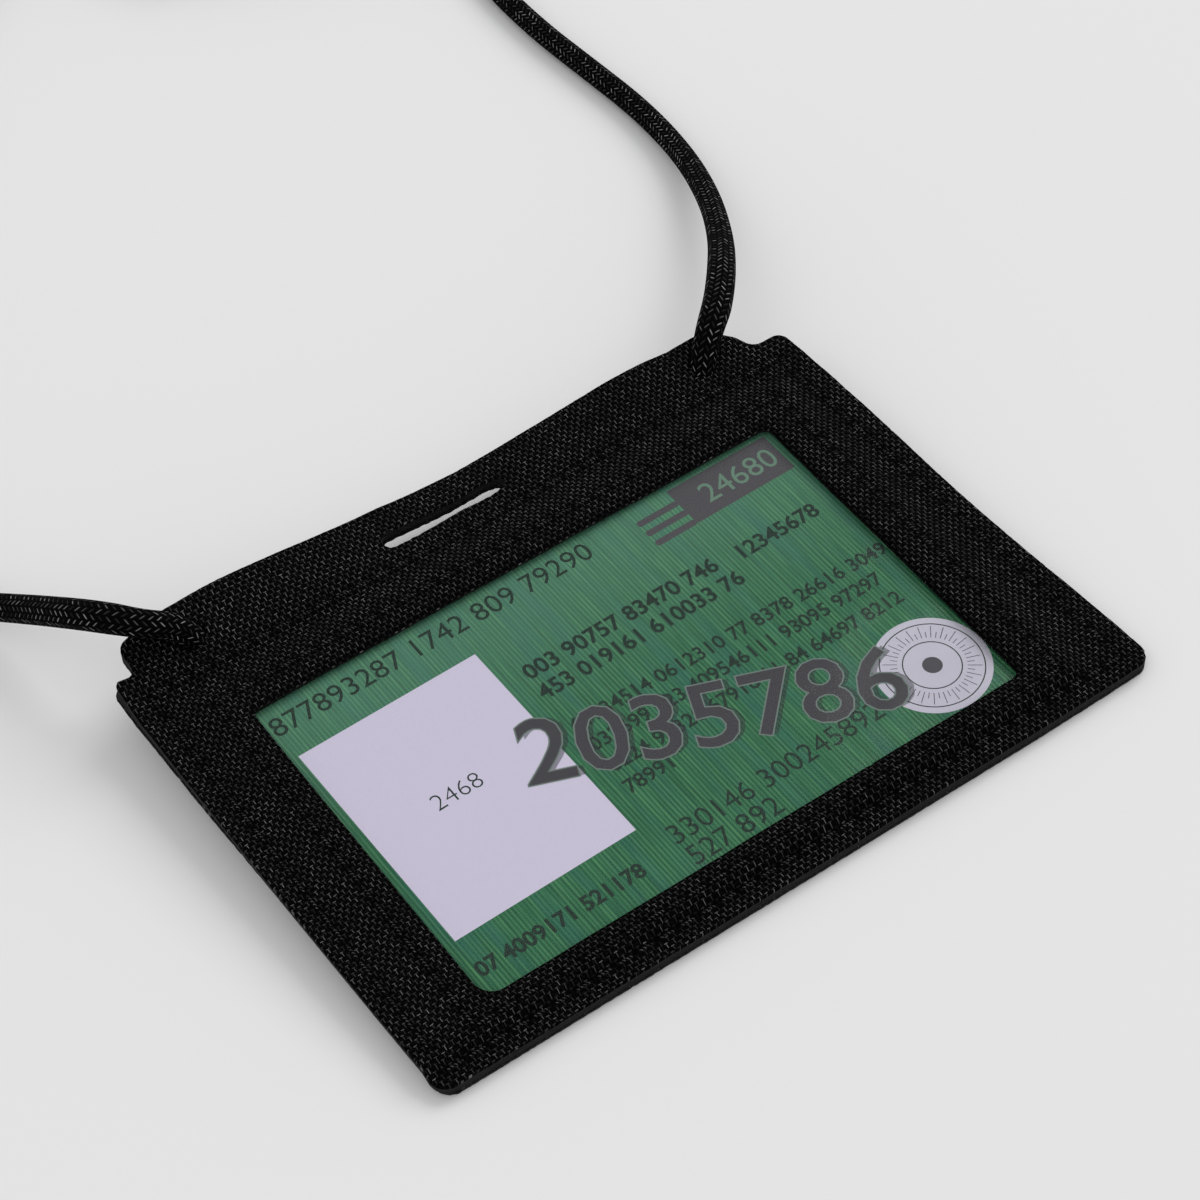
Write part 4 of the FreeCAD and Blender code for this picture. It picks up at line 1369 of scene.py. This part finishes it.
def numberShape(text, row, swell=0.0):
    # digits as flat points and faces in the card's own frame
    data = bpy.data.curves.new("numbers", "FONT")
    data.body = text
    data.size = row["size"]
    data.offset = row.get("bold", 0) + swell
    data.resolution_u = card["digitSteps"]
    thing = addObject("numbers", data)
    mesh = plainMesh(thing, "numbers")
    bpy.data.objects.remove(thing)
    turn = Matrix.Rotation(math.radians(row.get("turn", 0)), 4, "Z")
    mesh.transform(Matrix.Translation((*row["start"], 0)) @ turn)
    points = [(vertex.co.x, vertex.co.y) for vertex in mesh.vertices]
    return points, [tuple(polygon.vertices) for polygon in mesh.polygons]


def numberGroups(row, dice, own):
    # groups of random digits as long as a row of print
    room = int(row["reach"] / (own["digitWidth"] * row["size"]))
    groups = []
    while room > 1:
        size = min(dice.randint(*own["groupSizes"]), room)
        groups.append("".join(dice.choice("0123456789") for _ in range(size)))
        room -= size + 1
    return " ".join(groups)


def discShapes(own):
    # the disc, its rings, its spot and its ticks, each with its ink and its level
    middle = Vector(own["disc"][:2])
    radius = own["disc"][2]
    sides = own["discSides"]
    circle = [spoke(k / sides) * radius for k in range(sides)]

    def placed(*points):
        return outlineShape([tuple(middle + point) for point in points])

    yield placed(*circle), "blankDisc", "ground"
    for outer in own["rings"]:
        inner = outer - own["ringWidth"]
        for a, b in zip(circle, circle[1:] + circle[:1]):
            yield placed(a * inner, b * inner, b * outer, a * outer), "darkInk", "fine"
    yield placed(*(point * own["spot"] for point in circle)), "plainBlock", "fine"
    for k in range(own["ticks"]):
        out = spoke(k / own["ticks"])
        side = Vector((-out.y, out.x)) * own["tickWidth"] / 2
        inner = out * radius * own["tickStart"]
        outer = out * radius * own["tickEnds"][k % 2]
        yield placed(inner - side, outer - side, outer + side, inner + side), "plainBlock", "fine"


def makePrint(own):
    # everything printed on the card, as flat shapes just over its face
    dice = random.Random(own["seed"])
    inks = list(own["inks"])
    points, faces, looks = [], [], []

    def lay(shape, inkName, level):
        first = len(points)
        height = own["thickness"] + own["levels"][level]
        points.extend((x, y, height) for x, y in shape[0])
        faces.extend(tuple(first + k for k in polygon) for polygon in shape[1])
        looks.extend([inks.index(inkName)] * len(shape[1]))

    lay(outlineShape(boxCorners(*own["field"])), "blankField", "ground")
    for shape, inkName, level in discShapes(own):
        lay(shape, inkName, level)
    for block in own["blocks"]:
        corners = [(corner, own["blockCorner"]) for corner in boxCorners(*block)]
        lay(outlineShape(cornerArcs(corners, 3)), "plainBlock", "ground")
    for row in own["rows"]:
        lay(numberShape(numberGroups(row, dice, own), row), "darkInk", "rows")
    for text, inkName, level, row in own["numbers"]:
        lay(numberShape(text, row), inkName, level)
    over, row = own["overprint"], own["overprintRow"]
    asideX, asideY = own["shadeOffset"]
    outline, polygons = numberShape(over, row)
    lay(([(x + asideX, y + asideY) for x, y in outline], polygons), "overprintShade", "shade")
    lay(numberShape(over, row, own["overprintOutline"]), "overprintEdge", "edge")
    lay((outline, polygons), "overprint", "overprint")
    mesh = bpy.data.meshes.new("cardPrint")
    mesh.from_pydata([cardMatrix @ Vector(point) for point in points], [], faces)
    for name, colour in own["inks"].items():
        mesh.materials.append(inkMaterial(name, colour, own["alpha"].get(name, 1.0)))
    for polygon, look in zip(mesh.polygons, looks):
        polygon.material_index = look
    mesh.update()
    thing = addObject("cardPrint", mesh)
    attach(thing, "card")


def paintNode(name, material):
    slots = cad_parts[name].data.materials
    slots.clear()
    slots.append(material)


paintNode("card", cardMaterial(cardFace, card["turn"]))
makePrint(card)
print("card made")


# Clear window film
film = {
    "tint": (0.12, 0.14, 0.135),
    "scuffed": (0.5, 0.52, 0.52),
    "gloss": 0.1,
    "dull": 0.35,
    "turn": 0.5,
    "ripple": (0.06, 2.0),
    "rippleBand": (0.35, 0.65),
    "scuffs": (1.8, 4.0, 0.7),
    "scuffStretch": 0.05,
    "scuffBand": (0.62, 0.8),
    "bump": 0.002,
    "bumpShare": 0.3,
    "surface": {"Alpha": 0.06, "Specular IOR Level": 0.5},
}


def filmMaterial(own):
    shader = Shader("clearFilm")
    x, y, place = shader.objectPlace(own["turn"])
    ripple = shader.noise(place, *own["ripple"])
    scuffs = shader.noise(shader.join(x, y * own["scuffStretch"]), *own["scuffs"])
    worn = scuffs.band(*own["scuffBand"]) * ripple.band(*own["rippleBand"])
    colour = shader.mix(worn, own["tint"], own["scuffed"])
    roughness = worn * (own["dull"] - own["gloss"]) + own["gloss"]
    made = shader.finish(colour, {**own, "roughness": roughness}, ripple)
    made.surface_render_method = "BLENDED"
    return made


paintNode("window_film", filmMaterial(film))
print("film made")

# Table and light
stage = {"floor": (0.79, 0.79, 0.79), "roughness": 0.9, "surface": {"Specular IOR Level": 0.0},
         "size": 6.0, "world": 0.66, "seen": 0.79}
lamps = [
    {"name": "softKey", "place": (3.0, 0.75, 2.85), "size": 2.6, "power": 66.0},
    {"name": "softFill", "place": (-2.1, -0.9, 3.3), "size": 3.0, "power": 22.0},
]


def makeStage(own):
    half = own["size"] / 2
    mesh = bpy.data.meshes.new("table")
    corners = [(x, y, 0) for x, y in boxCorners(-half, -half, half, half)]
    mesh.from_pydata(corners, [], [(0, 1, 2, 3)])
    shader = Shader("paleTable")
    mesh.materials.append(shader.finish(own["floor"], own))
    addObject("table", mesh)
    scene.world = bpy.data.worlds.new("world")
    scene.world.use_nodes = True
    nodes = Nodes(scene.world.node_tree)
    seen = nodes.node("ShaderNodeMapRange", {
        "Value": nodes.node("ShaderNodeLightPath", output="Is Camera Ray"),
        "To Min": own["world"], "To Max": own["seen"]})
    light = nodes.tree.nodes["Background"]
    nodes.plug((1, 1, 1), light.inputs["Color"])
    nodes.plug(seen, light.inputs["Strength"])


def makeLamp(own):
    data = bpy.data.lights.new(own["name"], "AREA")
    data.size = own["size"]
    data.energy = own["power"]
    thing = addObject(own["name"], data)
    thing.location = own["place"]
    aim = -Vector(own["place"])
    thing.rotation_euler = aim.to_track_quat("-Z", "Y").to_euler()


makeStage(stage)
for lamp in lamps:
    makeLamp(lamp)
scene.view_settings.view_transform = "Standard"
print("stage made")
